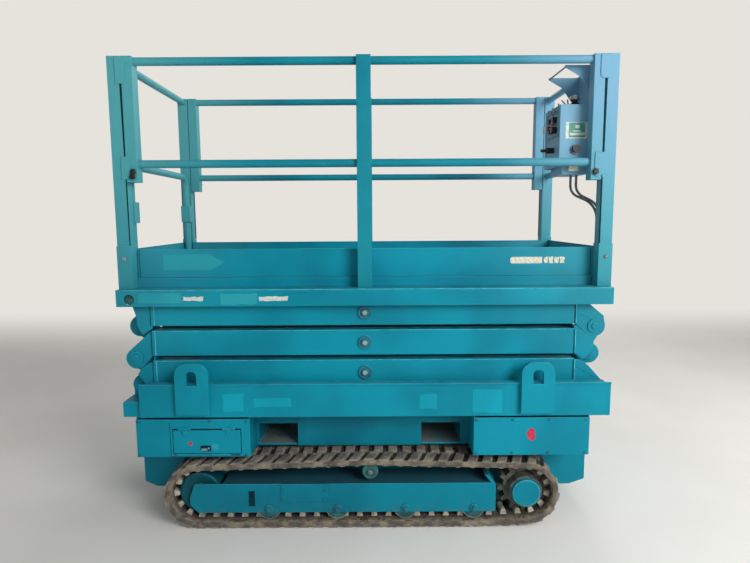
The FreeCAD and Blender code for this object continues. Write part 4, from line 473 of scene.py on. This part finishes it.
def on_belt(runs, distance):
    """The place on the belt's middle line with its outward and forward directions."""
    distance %= sum(run[3] for run in runs)
    for kind, a, b, length in runs:
        if distance <= length:
            break
        distance -= length
    if kind == "line":
        share = distance / length
        angle = math.atan2(b[1] - a[1], b[0] - a[0]) - math.pi / 2
        x, z = a[0] + (b[0] - a[0]) * share, a[1] + (b[1] - a[1]) * share
    else:
        angle = b + distance / a[2]
        x, z = a[0] + a[2] * math.cos(angle), a[1] + a[2] * math.sin(angle)
    out = Vector((math.cos(angle), 0, math.sin(angle)))
    ahead = Vector((-math.sin(angle), 0, math.cos(angle)))
    return Vector((x, 0, z)), out, ahead


def solid(mesh, rings):
    """Closes a stack of rings of equal count into one solid."""
    made = [[mesh.verts.new(v / 1000) for v in ring] for ring in rings]
    count = len(made[0])
    for a, b in zip(made, made[1:]):
        for i in range(count):
            mesh.faces.new((a[i], a[(i + 1) % count], b[(i + 1) % count], b[i]))
    mesh.faces.new(made[0])
    mesh.faces.new(made[-1])


def lug_ring(spot, out, ahead, height, length, y0, y1, skew):
    """One level of a tread lug: a slanted rectangle across the belt."""
    base = spot + out * height
    near = base + Vector((0, y0, 0)) - ahead * skew / 2
    far = base + Vector((0, y1, 0)) + ahead * skew / 2
    half = ahead * length / 2
    return [near - half, near + half, far + half, far - half]


def make_track(side, name, node):
    """One belt with rounded flanks, its staggered slanted lugs and the teeth of its steel cores."""
    half = BELT["thick"] / 2
    runs = belt_runs(BELT["play"] + half)
    total = sum(run[3] for run in runs)
    pitch = total / BELT["links"]
    y_in, y_out = side * BELT["inner"], side * (BELT["inner"] + BELT["width"])
    middle = (y_in + y_out) / 2
    profile = [*FLANK, *((-w, h) for w, h in reversed(FLANK))]
    mesh = bmesh.new()
    stations = []
    count = BELT["links"] * STATIONS_PER_LINK
    for i in range(count):
        spot, out, _ = on_belt(runs, total * i / count)
        section = [spot + out * half * h + Vector((0, middle + BELT["width"] / 2 * w, 0)) for w, h in profile]
        stations.append([mesh.verts.new(place / 1000) for place in section])
    for a, b in zip(stations, stations[1:] + stations[:1]):
        for i in range(len(profile)):
            j = (i + 1) % len(profile)
            mesh.faces.new((a[i], a[j], b[j], b[i]))
    belt = publish(name + "_belt", mesh, "belt_rubber", "chassis", 40)
    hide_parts(node)
    mesh = bmesh.new()
    for i in range(BELT["links"]):
        for phase, edge, toward, skew in ((0.0, y_out, -side, -LUG["skew"]), (0.5, y_in, side, 0)):
            y0 = edge + toward * LUG["inset"]
            y1 = y0 + toward * LUG["width"]
            spot, out, ahead = on_belt(runs, (i + phase) * pitch)
            levels = ((half - 6, LUG["length"] + 3, 0), (half + 2, LUG["length"], 0),
                      (half + LUG["height"] - 2.5, LUG["top"] + 2, 0),
                      (half + LUG["height"], LUG["top"] - 3, 3))
            solid(mesh, [lug_ring(spot, out, ahead, h, length, y0 + toward * inset, y1 - toward * inset, skew)
                         for h, length, inset in levels])
    # a lug that dips under the floor where the belt bends is pressed flat
    for corner in mesh.verts:
        corner.co.z = max(corner.co.z, 0.0)
    publish(name + "_lugs", mesh, "lug_rubber", "chassis", 25)
    mesh = bmesh.new()
    for i in range(BELT["links"]):
        spot, out, ahead = on_belt(runs, i * pitch)
        for y0, y1 in ((-50, -18), (18, 50)):
            solid(mesh, [lug_ring(spot, out, ahead, -half - depth, length, middle + y0 + inset,
                                  middle + y1 - inset, 0) for depth, length, inset in TOOTH])
        solid(mesh, [lug_ring(spot, out, ahead, -half - depth, length, middle - 30, middle + 30, 0)
                     for depth, length in CORE])
    publish(name + "_cores", mesh, "core_steel", "chassis", 25)


make_track(-1, "near_track", "track_near")
make_track(1, "far_track", "track_far")

# ---------------------------------------------------------------- running gear

SIDES = ((-1, "near", "-y"), (1, "far", "y"))
ROLLERS = [(x, LAST_ROLLER[1]) for x in (-482, -145, 192, 529)]
# depths in mm from the middle of the machine: the track frame's outer plate and the rollers' outer faces
FRAME_Y, ROLLER_Y = 530, 521.5
FRAME_SLOT_SHADE = ((-581, -550), (106, 183))


def at(wheel, y):
    """The centre of a wheel of the track at a depth."""
    return wheel[0], y, wheel[1]


for side, name, face in SIDES:
    many(f"{name}_frame_bolts", "painted_bolt", "chassis",
         [(bolt, dict(centre=(x, side * (FRAME_Y + 4), z), axis=face, radius=5.5, height=4, washer=False))
          for x, z in ((-208, 188), (-410, 188), (-208, 140), (-410, 140))])
    # a dark film on the frame's outer plate: painted shade standing in for a slot
    low_y, high_y = between(side, FRAME_Y - 0.5, FRAME_Y + 0.4)
    low, high = zip(*FRAME_SLOT_SHADE)
    many(f"{name}_frame_slot_shade", "dark_gap", "chassis", [
        (block, dict(low=(low[0], low_y, low[1]), high=(high[0], high_y, high[1]), bevel=0.1))])
    many(f"{name}_roller_bolts", "painted_bolt", "chassis",
         [(bolt, dict(centre=(x, side * (FRAME_Y + 10), z), axis=face, radius=9, height=5))
          for x, z in ROLLERS])
    many(f"{name}_carrier_bolt", "bolt_steel", "chassis",
         [(bolt, dict(centre=at(CARRIER, side * (FRAME_Y + 10)), axis=face, radius=9, height=5))])
    many(f"{name}_roller_collars", "low_enamel", "chassis",
         [(turned, dict(rounds=[(0, 21), (5, 21), (7, 18)], centre=(x, side * FRAME_Y, z), axis=face))
          for x, z in ROLLERS])
    # the rollers' dished webs and the rims that the belt has worn pale
    many(f"{name}_roller_faces", "roller_casting", "chassis",
         [(turned, dict(rounds=[(-0.4, 55), (0.6, 54), (0.2, 48)], centre=(x, side * ROLLER_Y, z),
                        axis=face, sides=40)) for x, z in ROLLERS])
    many(f"{name}_roller_rims", "worn_rim", "chassis",
         [(turned, dict(rounds=[(-1.2, 57.8), (0.8, 57.8), (1.2, 56.5), (0.8, 55), (-1.5, 55)],
                        centre=(x, side * ROLLER_Y, z), axis=face, sides=40)) for x, z in ROLLERS])
    many(f"{name}_carrier_cap", "roller_casting", "chassis", [
        (turned, dict(rounds=[(0, 39), (4, 39), (6, 36), (6, 20), (9, 18)],
                      centre=at(CARRIER, side * ROLLER_Y), axis=face, sides=32))])
    many(f"{name}_hub_cover", "low_enamel", "chassis", [
        (turned, dict(rounds=[(0, 64.6), (1.5, 64.6), (3.2, 62.5)],
                      centre=at(SPROCKET, side * (FRAME_Y + 15)), axis=face, sides=64))])
    many(f"{name}_hub_ring", "greasy_enamel", "chassis", [
        (turned, dict(rounds=[(0, 74), (3, 73.5), (5, 70), (8, 66), (15.6, 65.6)],
                      centre=at(SPROCKET, side * FRAME_Y), axis=face, sides=64))])
    many(f"{name}_hub_line", "worn_and_highlight_enamel", "chassis", [
        (turned, dict(rounds=[(14.2, 67.2), (15.8, 67.2), (16.2, 64.7), (14.2, 64.7)],
                      centre=at(SPROCKET, side * FRAME_Y), axis=face, sides=64))])
    many(f"{name}_idler_boss", "greasy_enamel", "chassis", [
        (turned, dict(rounds=[(0, 96), (2, 96), (4, 92), (1.5, 84), (1.5, 46), (6, 42), (9, 40)],
                      centre=at(IDLER, side * 500), axis=face, sides=64))])

# ---------------------------------------------------------------- covers, doors, skirts

# depths of the faces that films and bolts lie on: cover, skirt, deck's edge, toe board, deck's pin
COVER_Y, SKIRT_Y, EDGE_Y, TOE_Y, PIN_Y = 540, 545, 530, 410.7, 509
# thickness of a film: paint, sticker
PAINT, FILM = 0.3, 0.5
COVER_BOLTS = [(x, z) for x in (534, 709, 884, 1064) for z in (543, 378)] + [
    (-1102, 545), (-756, 546), (-580, 545), (-926, 373), (-756, 373), (-584, 376), (-1102, 377)]
COVER_MARK = [(815, 500), (820, 470), (820, 448), (806, 437), (788, 450), (778, 466), (779, 478),
              (792, 498), (804, 503)]
DOOR_MARK = [(-860, 441), (-845, 444), (-840, 432), (-852, 423), (-862, 428)]

for side, name, face in SIDES:
    cover_y, skirt_y, edge_y, toe_y = (side * depth for depth in (COVER_Y, SKIRT_Y, EDGE_Y, TOE_Y))
    many(f"{name}_cover_bolts", "painted_bolt", "chassis",
         [(bolt, dict(centre=(x, cover_y, z), axis=face, radius=5, height=3.5)) for x, z in COVER_BOLTS])
    # shut line between the cover's fixed panel and the part with the door, and the shadow under the door
    many(f"{name}_cover_joint", "seam_and_shadow_enamel", "chassis", [
        (flake, dict(x=(-950, -946.5), z=(368, 540), y=cover_y, side=side, thick=0.6)),
        (flake, dict(x=(-949, -566), z=(369.2, 371), y=cover_y, side=side, thick=0.6)),
        (flake, dict(x=(-655, -613), z=(373, 380), y=cover_y, side=side, thick=0.9, ragged=0.6)),
        (flake, dict(x=(-1111, -1084), z=(541, 544), y=cover_y, side=side, thick=0.6)),
    ])
    # a dark film round the latch on the door: painted shade standing in for a recess
    many(f"{name}_latch_recess_shade", "dark_gap", f"door_{name}", [
        (flake, dict(x=(-803, -754), z=(398, 424), y=cover_y, side=side, thick=0.5, ragged=1.2))])
    low_y, high_y = between(side, COVER_Y, COVER_Y + 3)
    many(f"{name}_latch", "bolt_steel", f"door_{name}", [
        (block, dict(low=(-800, low_y, 399), high=(-770, high_y, 410), bevel=1.0)),
        (bolt, dict(centre=(-764, cover_y, 410), axis=face, radius=5, height=3, washer=False))])
    many(f"{name}_door_smear", "faded_enamel", f"door_{name}", [
        (flake, dict(x=(-748, -716), z=(404, 430), y=cover_y, side=side, thick=PAINT, ragged=5))])
    many(f"{name}_red_mark", "red_mark", "chassis",
         [(plate, dict(outline=COVER_MARK, y0=cover_y, y1=cover_y + side * 0.4))])
    many(f"{name}_door_mark", "red_mark", f"door_{name}",
         [(plate, dict(outline=DOOR_MARK, y0=cover_y, y1=cover_y + side * 0.4))])
    many(f"{name}_skirt_repaint", "repaint_enamel", "chassis", [
        (flake, dict(x=x, z=z, y=skirt_y, side=side, thick=PAINT, ragged=2.0)) for x, z in (
            ((-687, -587), (597, 682)), ((-539, -358), (617, 659)),
            ((259, 342), (604, 676)), ((513, 654), (582, 697)))])
    # pale beads along the base's top edges: painted highlight
    many(f"{name}_base_crest", "worn_and_highlight_enamel", "chassis", [
        (bead, dict(start=(x0, side * 544, 728.5), end=(x1, side * 544, 728.5), radius=1.8))
        for x0, x1 in ((-1083, -909), (-744, 738), (902, 1172))])
    many(f"{name}_lug_edges", "worn_and_highlight_enamel", "chassis", [
        (bead, dict(start=(x, side * 567, 586.5), end=(x + 150, side * 567, 586.5), radius=1.8))
        for x in (-901, 745)])
    # pale beads along the top of the deck's edge and of the toe board: painted highlight
    many(f"{name}_edge_crest", "worn_and_highlight_enamel", "platform", [
        (bead, dict(start=(-1170, side * 529, 1184), end=(1172, side * 529, 1184), radius=1.8)),
        (bead, dict(start=(-1108, side * 409, 1368), end=(1108, side * 409, 1368), radius=1.6))])
    many(f"{name}_edge_faded", "faded_enamel", "platform", [
        (flake, dict(x=x, z=z, y=edge_y, side=side, thick=PAINT, ragged=2.5)) for x, z in (
            ((-1070, -869), (1121, 1170)), ((-684, -509), (1114, 1166)))])
    many(f"{name}_edge_blanks", "white_print", "platform", [
        (flake, dict(x=x, z=z, y=edge_y, side=side, thick=FILM, ragged=2.4, steps=7)) for x, z in (
            ((-858, -764), (1132, 1152)), ((-500, -364), (1131, 1151)))])
    # toe board: the scuffed blank strip with rounded ends, its last third in pieces, and the repainted band
    strip = [(712, 1300), (712, 1314), (718, 1323), (868, 1323), (868, 1291), (718, 1291)]
    many(f"{name}_toe_blank", "cream_sticker", "platform", [
        (plate, dict(outline=strip, y0=toe_y, y1=toe_y + side * FILM))] + [
        (flake, dict(x=x, z=(1292, 1322), y=toe_y, side=side, thick=FILM, ragged=3, steps=4))
        for x in ((878, 896), (903, 921), (929, 950), (957, 977))])
    band = [(-990, 1268), (-992, 1342), (-760, 1346), (-726, 1322), (-690, 1306), (-722, 1282), (-760, 1266)]
    many(f"{name}_toe_repaint", "faded_enamel", "platform",
         [(plate, dict(outline=band, y0=toe_y, y1=toe_y + side * PAINT))])
    # dark lines at the board's ends, and along its foot a painted shadow under the toe board's lower edge
    many(f"{name}_toe_joints_and_shadow", "seam_and_shadow_enamel", "platform", [
        (flake, dict(x=(-1108, 1108), z=(1228, 1231.5), y=toe_y, side=side, thick=0.5)),
        (flake, dict(x=(1103, 1106), z=(1190, 1368), y=toe_y, side=side, thick=0.4)),
        (flake, dict(x=(-1106, -1103), z=(1190, 1368), y=toe_y, side=side, thick=0.4))])
    # the slotted end of the arm's pin, seen in the hole of the deck's edge
    low_y, high_y = between(side, PIN_Y + 9, PIN_Y + 14)
    many(f"{name}_deck_pin", "roller_casting", "platform", [
        (turned, dict(rounds=[(0, 25), (10, 25), (11, 23)], centre=(-1115, side * PIN_Y, 1139), axis=face,
                      sides=32)),
        (block, dict(low=(-1117.5, low_y, 1117), high=(-1112.5, high_y, 1161), bevel=0.6))])

# the tray's end plates, lower than in the solids, as the photograph shows them
ends = many("base_end_plates", "teal_enamel", "chassis", [
    (block, dict(low=(1169, -539, 573), high=(1175, 539, 648), bevel=1.0)),
    (block, dict(low=(-1087, -539, 573), high=(-1081, 539, 639), bevel=1.0))])
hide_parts("base_ends")

# ---------------------------------------------------------------- scissor stack

# the arms: ends of their beams, their depth, the outer face; level of the lowest pins, height of a stage
LEFT_END, RIGHT_END, ARM_DEPTH, ARM_Y, LOWEST_PIN, STAGE = -1037, 1017, 123, 480, 695, 148
# gusset plates that close the outer arms' ends: stage, end, corners (x, z); clear of each other at full lift
GUSSETS = (
    (3, "right", [(1012, 1062), (1012, 1126), (1058, 1118), (1094, 1090), (1153, 1041), (1155, 1022),
                  (1158.5, 1008), (1160, 998), (1148, 985), (1100, 1020)]),
    (3, "left", [(-1031, 1100), (-1122, 1100), (-1108, 1058), (-1102, 1000), (-1080, 962), (-1031, 990)]),
    (2, "right", [(1012, 978), (1012, 996), (1026, 992), (1073, 954), (1080.5, 947.5), (1094.5, 940.8),
                  (1110, 938.5), (1124.5, 940.5), (1109, 915), (1110, 880), (1068, 832), (1056, 830),
                  (1036, 846), (1012, 860)]),
    (1, "left", [(-1031, 826), (-1062, 816), (-1096, 790), (-1113, 764), (-1090, 734), (-1076, 712),
                 (-1031, 712)]),
    (1, "right", [(1012, 826), (1044, 825), (1084, 799), (1150, 726), (1110, 740), (1012, 800)]),
)

for stage in (1, 2, 3):
    z = LOWEST_PIN + STAGE * (stage - 0.5)
    body = f"outer_{stage}"
    bottom, top = z - ARM_DEPTH / 2, z + ARM_DEPTH / 2
    for side, name, face in SIDES:
        arm_y = side * ARM_Y
        many(f"{name}_centre_pin_{stage}", "painted_bolt", body, [
            (turned, dict(rounds=[(-0.5, 33.5), (1.5, 33.5), (3, 31), (1.2, 26), (1.2, 20), (6, 19), (8, 17)],
                          centre=(-2.5, side * 486, z), axis=face, sides=36))])
        many(f"{name}_centre_bolt_{stage}", "bolt_steel", body, [
            (bolt, dict(centre=(-2.5, side * 491, z), axis=face, radius=13, height=7))])
        # weld beads at the beam ends, and along the top edge a pale bead that is a painted highlight
        many(f"{name}_arm_welds_{stage}", "worn_and_highlight_enamel", body,
             [(bead, dict(start=(x, arm_y, bottom + 3), end=(x, arm_y, top - 3), radius=2.4, wave=0.2))
              for x in (LEFT_END + 16, RIGHT_END + 3)]
             + [(bead, dict(start=(LEFT_END + 4, arm_y + 0.4 * side, top - 1), radius=1.8,
                            end=(RIGHT_END - 2, arm_y + 0.4 * side, top - 1)))])
        many(f"{name}_arm_seams_{stage}", "seam_and_shadow_enamel", body,
             [(flake, dict(x=x, z=(bottom, top), y=arm_y, side=side, thick=1.3))
              for x in ((LEFT_END - 4, LEFT_END + 1), (RIGHT_END - 6, RIGHT_END))])
        # closing plate over the inner arm's end, which shuts the gap between two stages
        if stage < 3:
            x0 = RIGHT_END - 9 if stage == 2 else LEFT_END + 3
            low_y, high_y = between(side, 364, 474)
            many(f"{name}_closing_plate_{stage}", "low_enamel", body, [
                (block, dict(low=(x0, low_y, top - 1), high=(x0 + 6, high_y, top + 19), bevel=0.5))])
        # pale bead along the arm's top edge: painted highlight
        crest_y, crest_z = side * (ARM_Y - 1), top - 1.5
        many(f"{name}_arm_crest_{stage}", "worn_and_highlight_enamel", body, [
            (bead, dict(start=(LEFT_END + 30, crest_y, crest_z), end=(RIGHT_END - 4, crest_y, crest_z),
                        radius=1.8))])
        # low fences on the inner arms, which shut the same gap further in
        if stage < 3:
            low_y, high_y = between(side, 367, 372)
            many(f"{name}_arm_fence_{stage}", "low_enamel", f"inner_{stage}", [
                (block, dict(low=(x0, low_y, top - 1), high=(x1, high_y, top + 13), bevel=0.5))
                for x0, x1 in ((LEFT_END + 12, -700), (700, RIGHT_END))])
        for owner, end, outline in GUSSETS:
            if owner == stage:
                many(f"{name}_gusset_{stage}_{end}", "teal_enamel", body,
                     [(plate, dict(outline=outline, y0=side * (ARM_Y + 1), y1=side * (ARM_Y - 10)))])

# ---------------------------------------------------------------- posts and straps

# strap plates between posts and folding members: corners (x, z)
STRAPS = (
    [(1090, 2255), (1139, 2255), (1139, 2160), (1131, 2150), (1101, 2150), (1090, 2162)],
    [(1079, 1816), (1134, 1816), (1134, 1717), (1088, 1703), (1079, 1715)],
    [(-1139, 2255), (-1092, 2255), (-1097, 2148), (-1108, 2136), (-1139, 2136)],
    [(-1134, 1807), (-1092, 1807), (-1095, 1716), (-1108, 1703), (-1134, 1703)],
)
# shadow gaps between posts and folding members: corners (x, z)
POST_GAPS = (
    [(1112, 2150), (1124, 2150), (1122, 1816), (1112, 1816)],
    [(1112, 1703), (1119, 1703), (1119, 1392), (1112, 1392)],
    [(-1122, 2136), (-1112, 2136), (-1112, 1807), (-1119, 1807)],
    [(-1118, 1703), (-1112, 1703), (-1112, 1392), (-1117, 1392)],
)
POST_Y = 483
for side, name, face in SIDES:
    straps = many(f"{name}_straps", "railing_enamel", "platform",
                  [(plate, dict(outline=outline, y0=side * POST_Y, y1=side * (POST_Y + 4)))
                   for outline in STRAPS])
    if side < 0:
        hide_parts("rail_straps")
    many(f"{name}_post_gaps", "dark_gap", "platform", [
        (plate, dict(outline=outline, y0=side * (POST_Y - 0.4), y1=side * (POST_Y + 0.6)))
        for outline in POST_GAPS])
    many(f"{name}_socket_bolts", "bolt_steel", "platform",
         [(bolt, dict(centre=(x, side * (POST_Y + 3), 1328), axis=face, radius=8, height=5))
          for x in (1148, -1148)])
    knobs = many(f"{name}_latch_knobs", "black_plastic", "platform", [
        (turned, dict(rounds=[(0, 10), (3, 14), (9, 14), (12, 10)], centre=(x, side * (POST_Y + 4), z),
                      axis=face, sides=20))
        for x, z in ((1082, 1727), (-1077, 1737), (-1081, 1716))])
    if side < 0:
        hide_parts("latch_knobs")

# ---------------------------------------------------------------- control box

# the face of the box towards the near side; a film on another lies this much further out
BOX_Y, ABOVE = -400, 0.4
many("plate_border", "white_print", "platform", [
    (flake, dict(x=(966, 1076), z=(1890, 1967), y=BOX_Y, side=-1, thick=FILM))])
many("plate_field", "green_print", "platform", [
    (flake, dict(x=(982, 1060), z=(1896, 1964), y=BOX_Y - ABOVE, side=-1, thick=FILM))])
many("plate_bars", "white_print", "platform", [
    (flake, dict(x=(986, 1057), z=(1905, 1917), y=BOX_Y - 2 * ABOVE, side=-1, thick=0.4, ragged=0.8)),
    (flake, dict(x=(1012, 1032), z=(1938, 1953), y=BOX_Y - 2 * ABOVE, side=-1, thick=0.4, ragged=1.5)),
    (flake, dict(x=(1002, 1040), z=(1921, 1928), y=BOX_Y - 2 * ABOVE, side=-1, thick=0.4, ragged=1.0))])
many("knob_ring", "grey_plastic", "platform", [
    (turned, dict(rounds=[(0, 25), (3, 25), (5, 22)], centre=(1014, BOX_Y, 1839), axis="-y", sides=40))])
many("gland_label", "cream_sticker", "platform", [
    (flake, dict(x=(987, 1033), z=(1737, 1760), y=BOX_Y, side=-1, thick=FILM, ragged=1.5))])
many("box_joints", "dark_gap", "platform", [
    (flake, dict(x=(941, 1094), z=(1768, 1771), y=BOX_Y, side=-1, thick=0.4)),
    (flake, dict(x=(1089, 1094), z=(1770, 2048), y=BOX_Y, side=-1, thick=0.4))])
joystick = many("joystick", "bright_steel", "platform", [
    (turned, dict(rounds=[(0, 8), (2, 17), (8, 24), (16, 25), (24, 20), (29, 9)],
                  centre=(1030, -330, 2076), axis="z")),
    (turned, dict(rounds=[(0, 7), (22, 7)], centre=(1030, -330, 2056), axis="z", sides=16)),
    (bead, dict(start=(995, -330, 2052), end=(965, -330, 2084), radius=4)),
    (bead, dict(start=(1012, -300, 2052), end=(1004, -300, 2092), radius=4)),
    (bead, dict(start=(985, -262, 2052), end=(972, -262, 2080), radius=5))])
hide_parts("control_levers")
many("joystick_boot", "black_plastic", "platform", [
    (turned, dict(rounds=[(0, 32), (4, 32), (5, 26), (9, 28), (12, 21), (16, 23), (20, 15), (26, 12)],
                  centre=(1030, -330, 2050), axis="z"))])
many("panel_levers", "bright_steel", "platform", [
    (bead, dict(start=(940, y, z), end=(918, y - 6, z + lift), radius=3.2))
    for y, z, lift in ((-352, 2012, 16), (-330, 2030, 12), (-300, 2016, 14), (-268, 2032, 10),
                       (-340, 1962, 9), (-300, 1958, -8))])
many("panel_red_caps", "red_plastic", "platform", [
    (turned, dict(rounds=[(0, 11), (9, 12), (14, 12), (17, 9)], centre=(939, y, z), axis="-x", sides=20))
    for y, z in ((-318, 1976), (-250, 1960))])
many("panel_tag", "white_print", "platform", [
    (block, dict(low=(906, -262, 1939), high=(908.5, -236, 1971), bevel=0.5))])
many("panel_strip", "grey_plastic", "platform", [
    (block, dict(low=(936, -372, 1908), high=(940, -200, 1914), bevel=0.8)),
    (block, dict(low=(936, -372, 2042), high=(940, -200, 2047), bevel=0.8))])
many("panel_toggle_tip", "black_plastic", "platform", [
    (turned, dict(rounds=[(0, 5), (6, 8), (18, 9), (24, 6)], centre=(903, -300, 1845), axis="-x", sides=16))])

# ---------------------------------------------------------------- stains

many("hull_oil", "oil_stain", "chassis", [
    (flake, dict(x=(-700, -655), z=(236, 262), y=-330, side=-1, thick=0.4, ragged=6))])

# ---------------------------------------------------------------- lights, floor, camera

# the cove's start in y, its radius, the wall's height, half the floor's width, all in metres
COVE_Y, COVE_RADIUS, WALL_HEIGHT, HALF_WIDTH, COVE_STEPS = 6.0, 3.0, 9.0, 16, 16
# soft lights: place, target and size in metres, watts
LIGHTS = {
    "key": ((3.4, -4.6, 3.2), (0.2, 0, 1.0), 3.0, 250),
    "fill": ((-4.5, -3.5, 2.6), (0, 0, 1.2), 3.0, 15),
    "side": ((5.4, -0.4, 2.3), (0, 0, 1.4), 2.0, 70),
    "back": ((1.4, 4.5, 4.5), (0, 0, 1.5), 3.0, 80),
}
DAYLIGHT = 0.34
SENSOR_MM = 36


def make_stage():
    """A pale floor that curves up into a wall far behind."""
    s = Surface("pale_floor")
    base = s.layer(colour("#EAE7E1"), colour("#EFECE7"), s.band(s.noise(900, 2), 0.3, 0.7))
    material = s.finish(base, 0.8, specular=0.1)
    # the wall shows evenly pale, as a lit backdrop does; the floor near the object keeps its shadow
    tree = material.node_tree
    path = add(tree, "ShaderNodeLightPath").outputs
    seen = maths(tree, "MAXIMUM", path["Is Camera Ray"],
                 maths(tree, "MAXIMUM", path["Is Glossy Ray"], path["Is Transmission Ray"]))
    place = add(tree, "ShaderNodeSeparateXYZ", {0: s.place}).outputs
    share = s.both(seen, s.band(place[1], 2.5, COVE_Y))
    lit = add(tree, "ShaderNodeEmission", {0: colour("#E6E3DD"), 1: 1.0}).outputs[0]
    output = next(n for n in tree.nodes if n.bl_idname == "ShaderNodeOutputMaterial")
    painted_floor = output.inputs[0].links[0].from_socket
    blended = add(tree, "ShaderNodeMixShader", {0: share, 1: painted_floor, 2: lit}).outputs[0]
    tree.links.new(blended, output.inputs[0])
    angles = [math.pi / 2 * k / COVE_STEPS for k in range(1, COVE_STEPS + 1)]
    profile = [(-9.0, 0.0), (COVE_Y, 0.0),
               *((COVE_Y + COVE_RADIUS * math.sin(a), COVE_RADIUS * (1 - math.cos(a))) for a in angles),
               (COVE_Y + COVE_RADIUS, WALL_HEIGHT)]
    mesh = bmesh.new()
    lines = [[mesh.verts.new((x, y, z)) for x in (-HALF_WIDTH, HALF_WIDTH)] for y, z in profile]
    for a, b in zip(lines, lines[1:]):
        mesh.faces.new((a[0], a[1], b[1], b[0])).smooth = True
    data = bpy.data.meshes.new("studio_floor")
    mesh.to_mesh(data)
    mesh.free()
    data.materials.append(material)
    floor = bpy.data.objects.new("studio_floor", data)
    bpy.context.scene.collection.objects.link(floor)


def area_light(name, place, target, size, watts):
    """A round soft light, its place and target in metres."""
    data = bpy.data.lights.new(name, "AREA")
    data.shape = "DISK"
    data.size = size
    data.energy = watts
    light = bpy.data.objects.new(name, data)
    light.location = place
    light.rotation_euler = (Vector(target) - Vector(place)).to_track_quat("-Z", "Y").to_euler()
    bpy.context.scene.collection.objects.link(light)


def make_world():
    """Even, dim daylight from all round."""
    world = bpy.data.worlds.new("studio")
    world.use_nodes = True
    background = world.node_tree.nodes["Background"]
    background.inputs[0].default_value = colour("#F4F6F7")
    background.inputs[1].default_value = DAYLIGHT
    bpy.context.scene.world = world


def make_camera():
    """The photograph's camera."""
    pitch, yaw, roll = (math.radians(v) for v in (CAMERA_PITCH, CAMERA_YAW, CAMERA_ROLL))
    ahead = Vector((math.sin(yaw) * math.cos(pitch), math.cos(yaw) * math.cos(pitch), -math.sin(pitch)))
    right = Vector((math.cos(yaw), -math.sin(yaw), 0))
    up = right.cross(ahead)
    side = right * math.cos(roll) + up * math.sin(roll)
    top = -right * math.sin(roll) + up * math.cos(roll)
    data = bpy.data.cameras.new("camera")
    data.sensor_width = SENSOR_MM
    data.lens = SENSOR_MM * FOCAL_PIXELS / FRAME_PIXELS
    camera = bpy.data.objects.new("camera", data)
    matrix = Matrix((side, top, -ahead)).transposed().to_4x4()
    matrix.translation = CAMERA_PLACE
    camera.matrix_world = matrix
    bpy.context.scene.collection.objects.link(camera)
    bpy.context.scene.camera = camera


make_stage()
make_world()
for light_name, (place, target, size, watts) in LIGHTS.items():
    area_light(light_name, place, target, size, watts)
make_camera()
bpy.context.scene.view_settings.view_transform = "Standard"
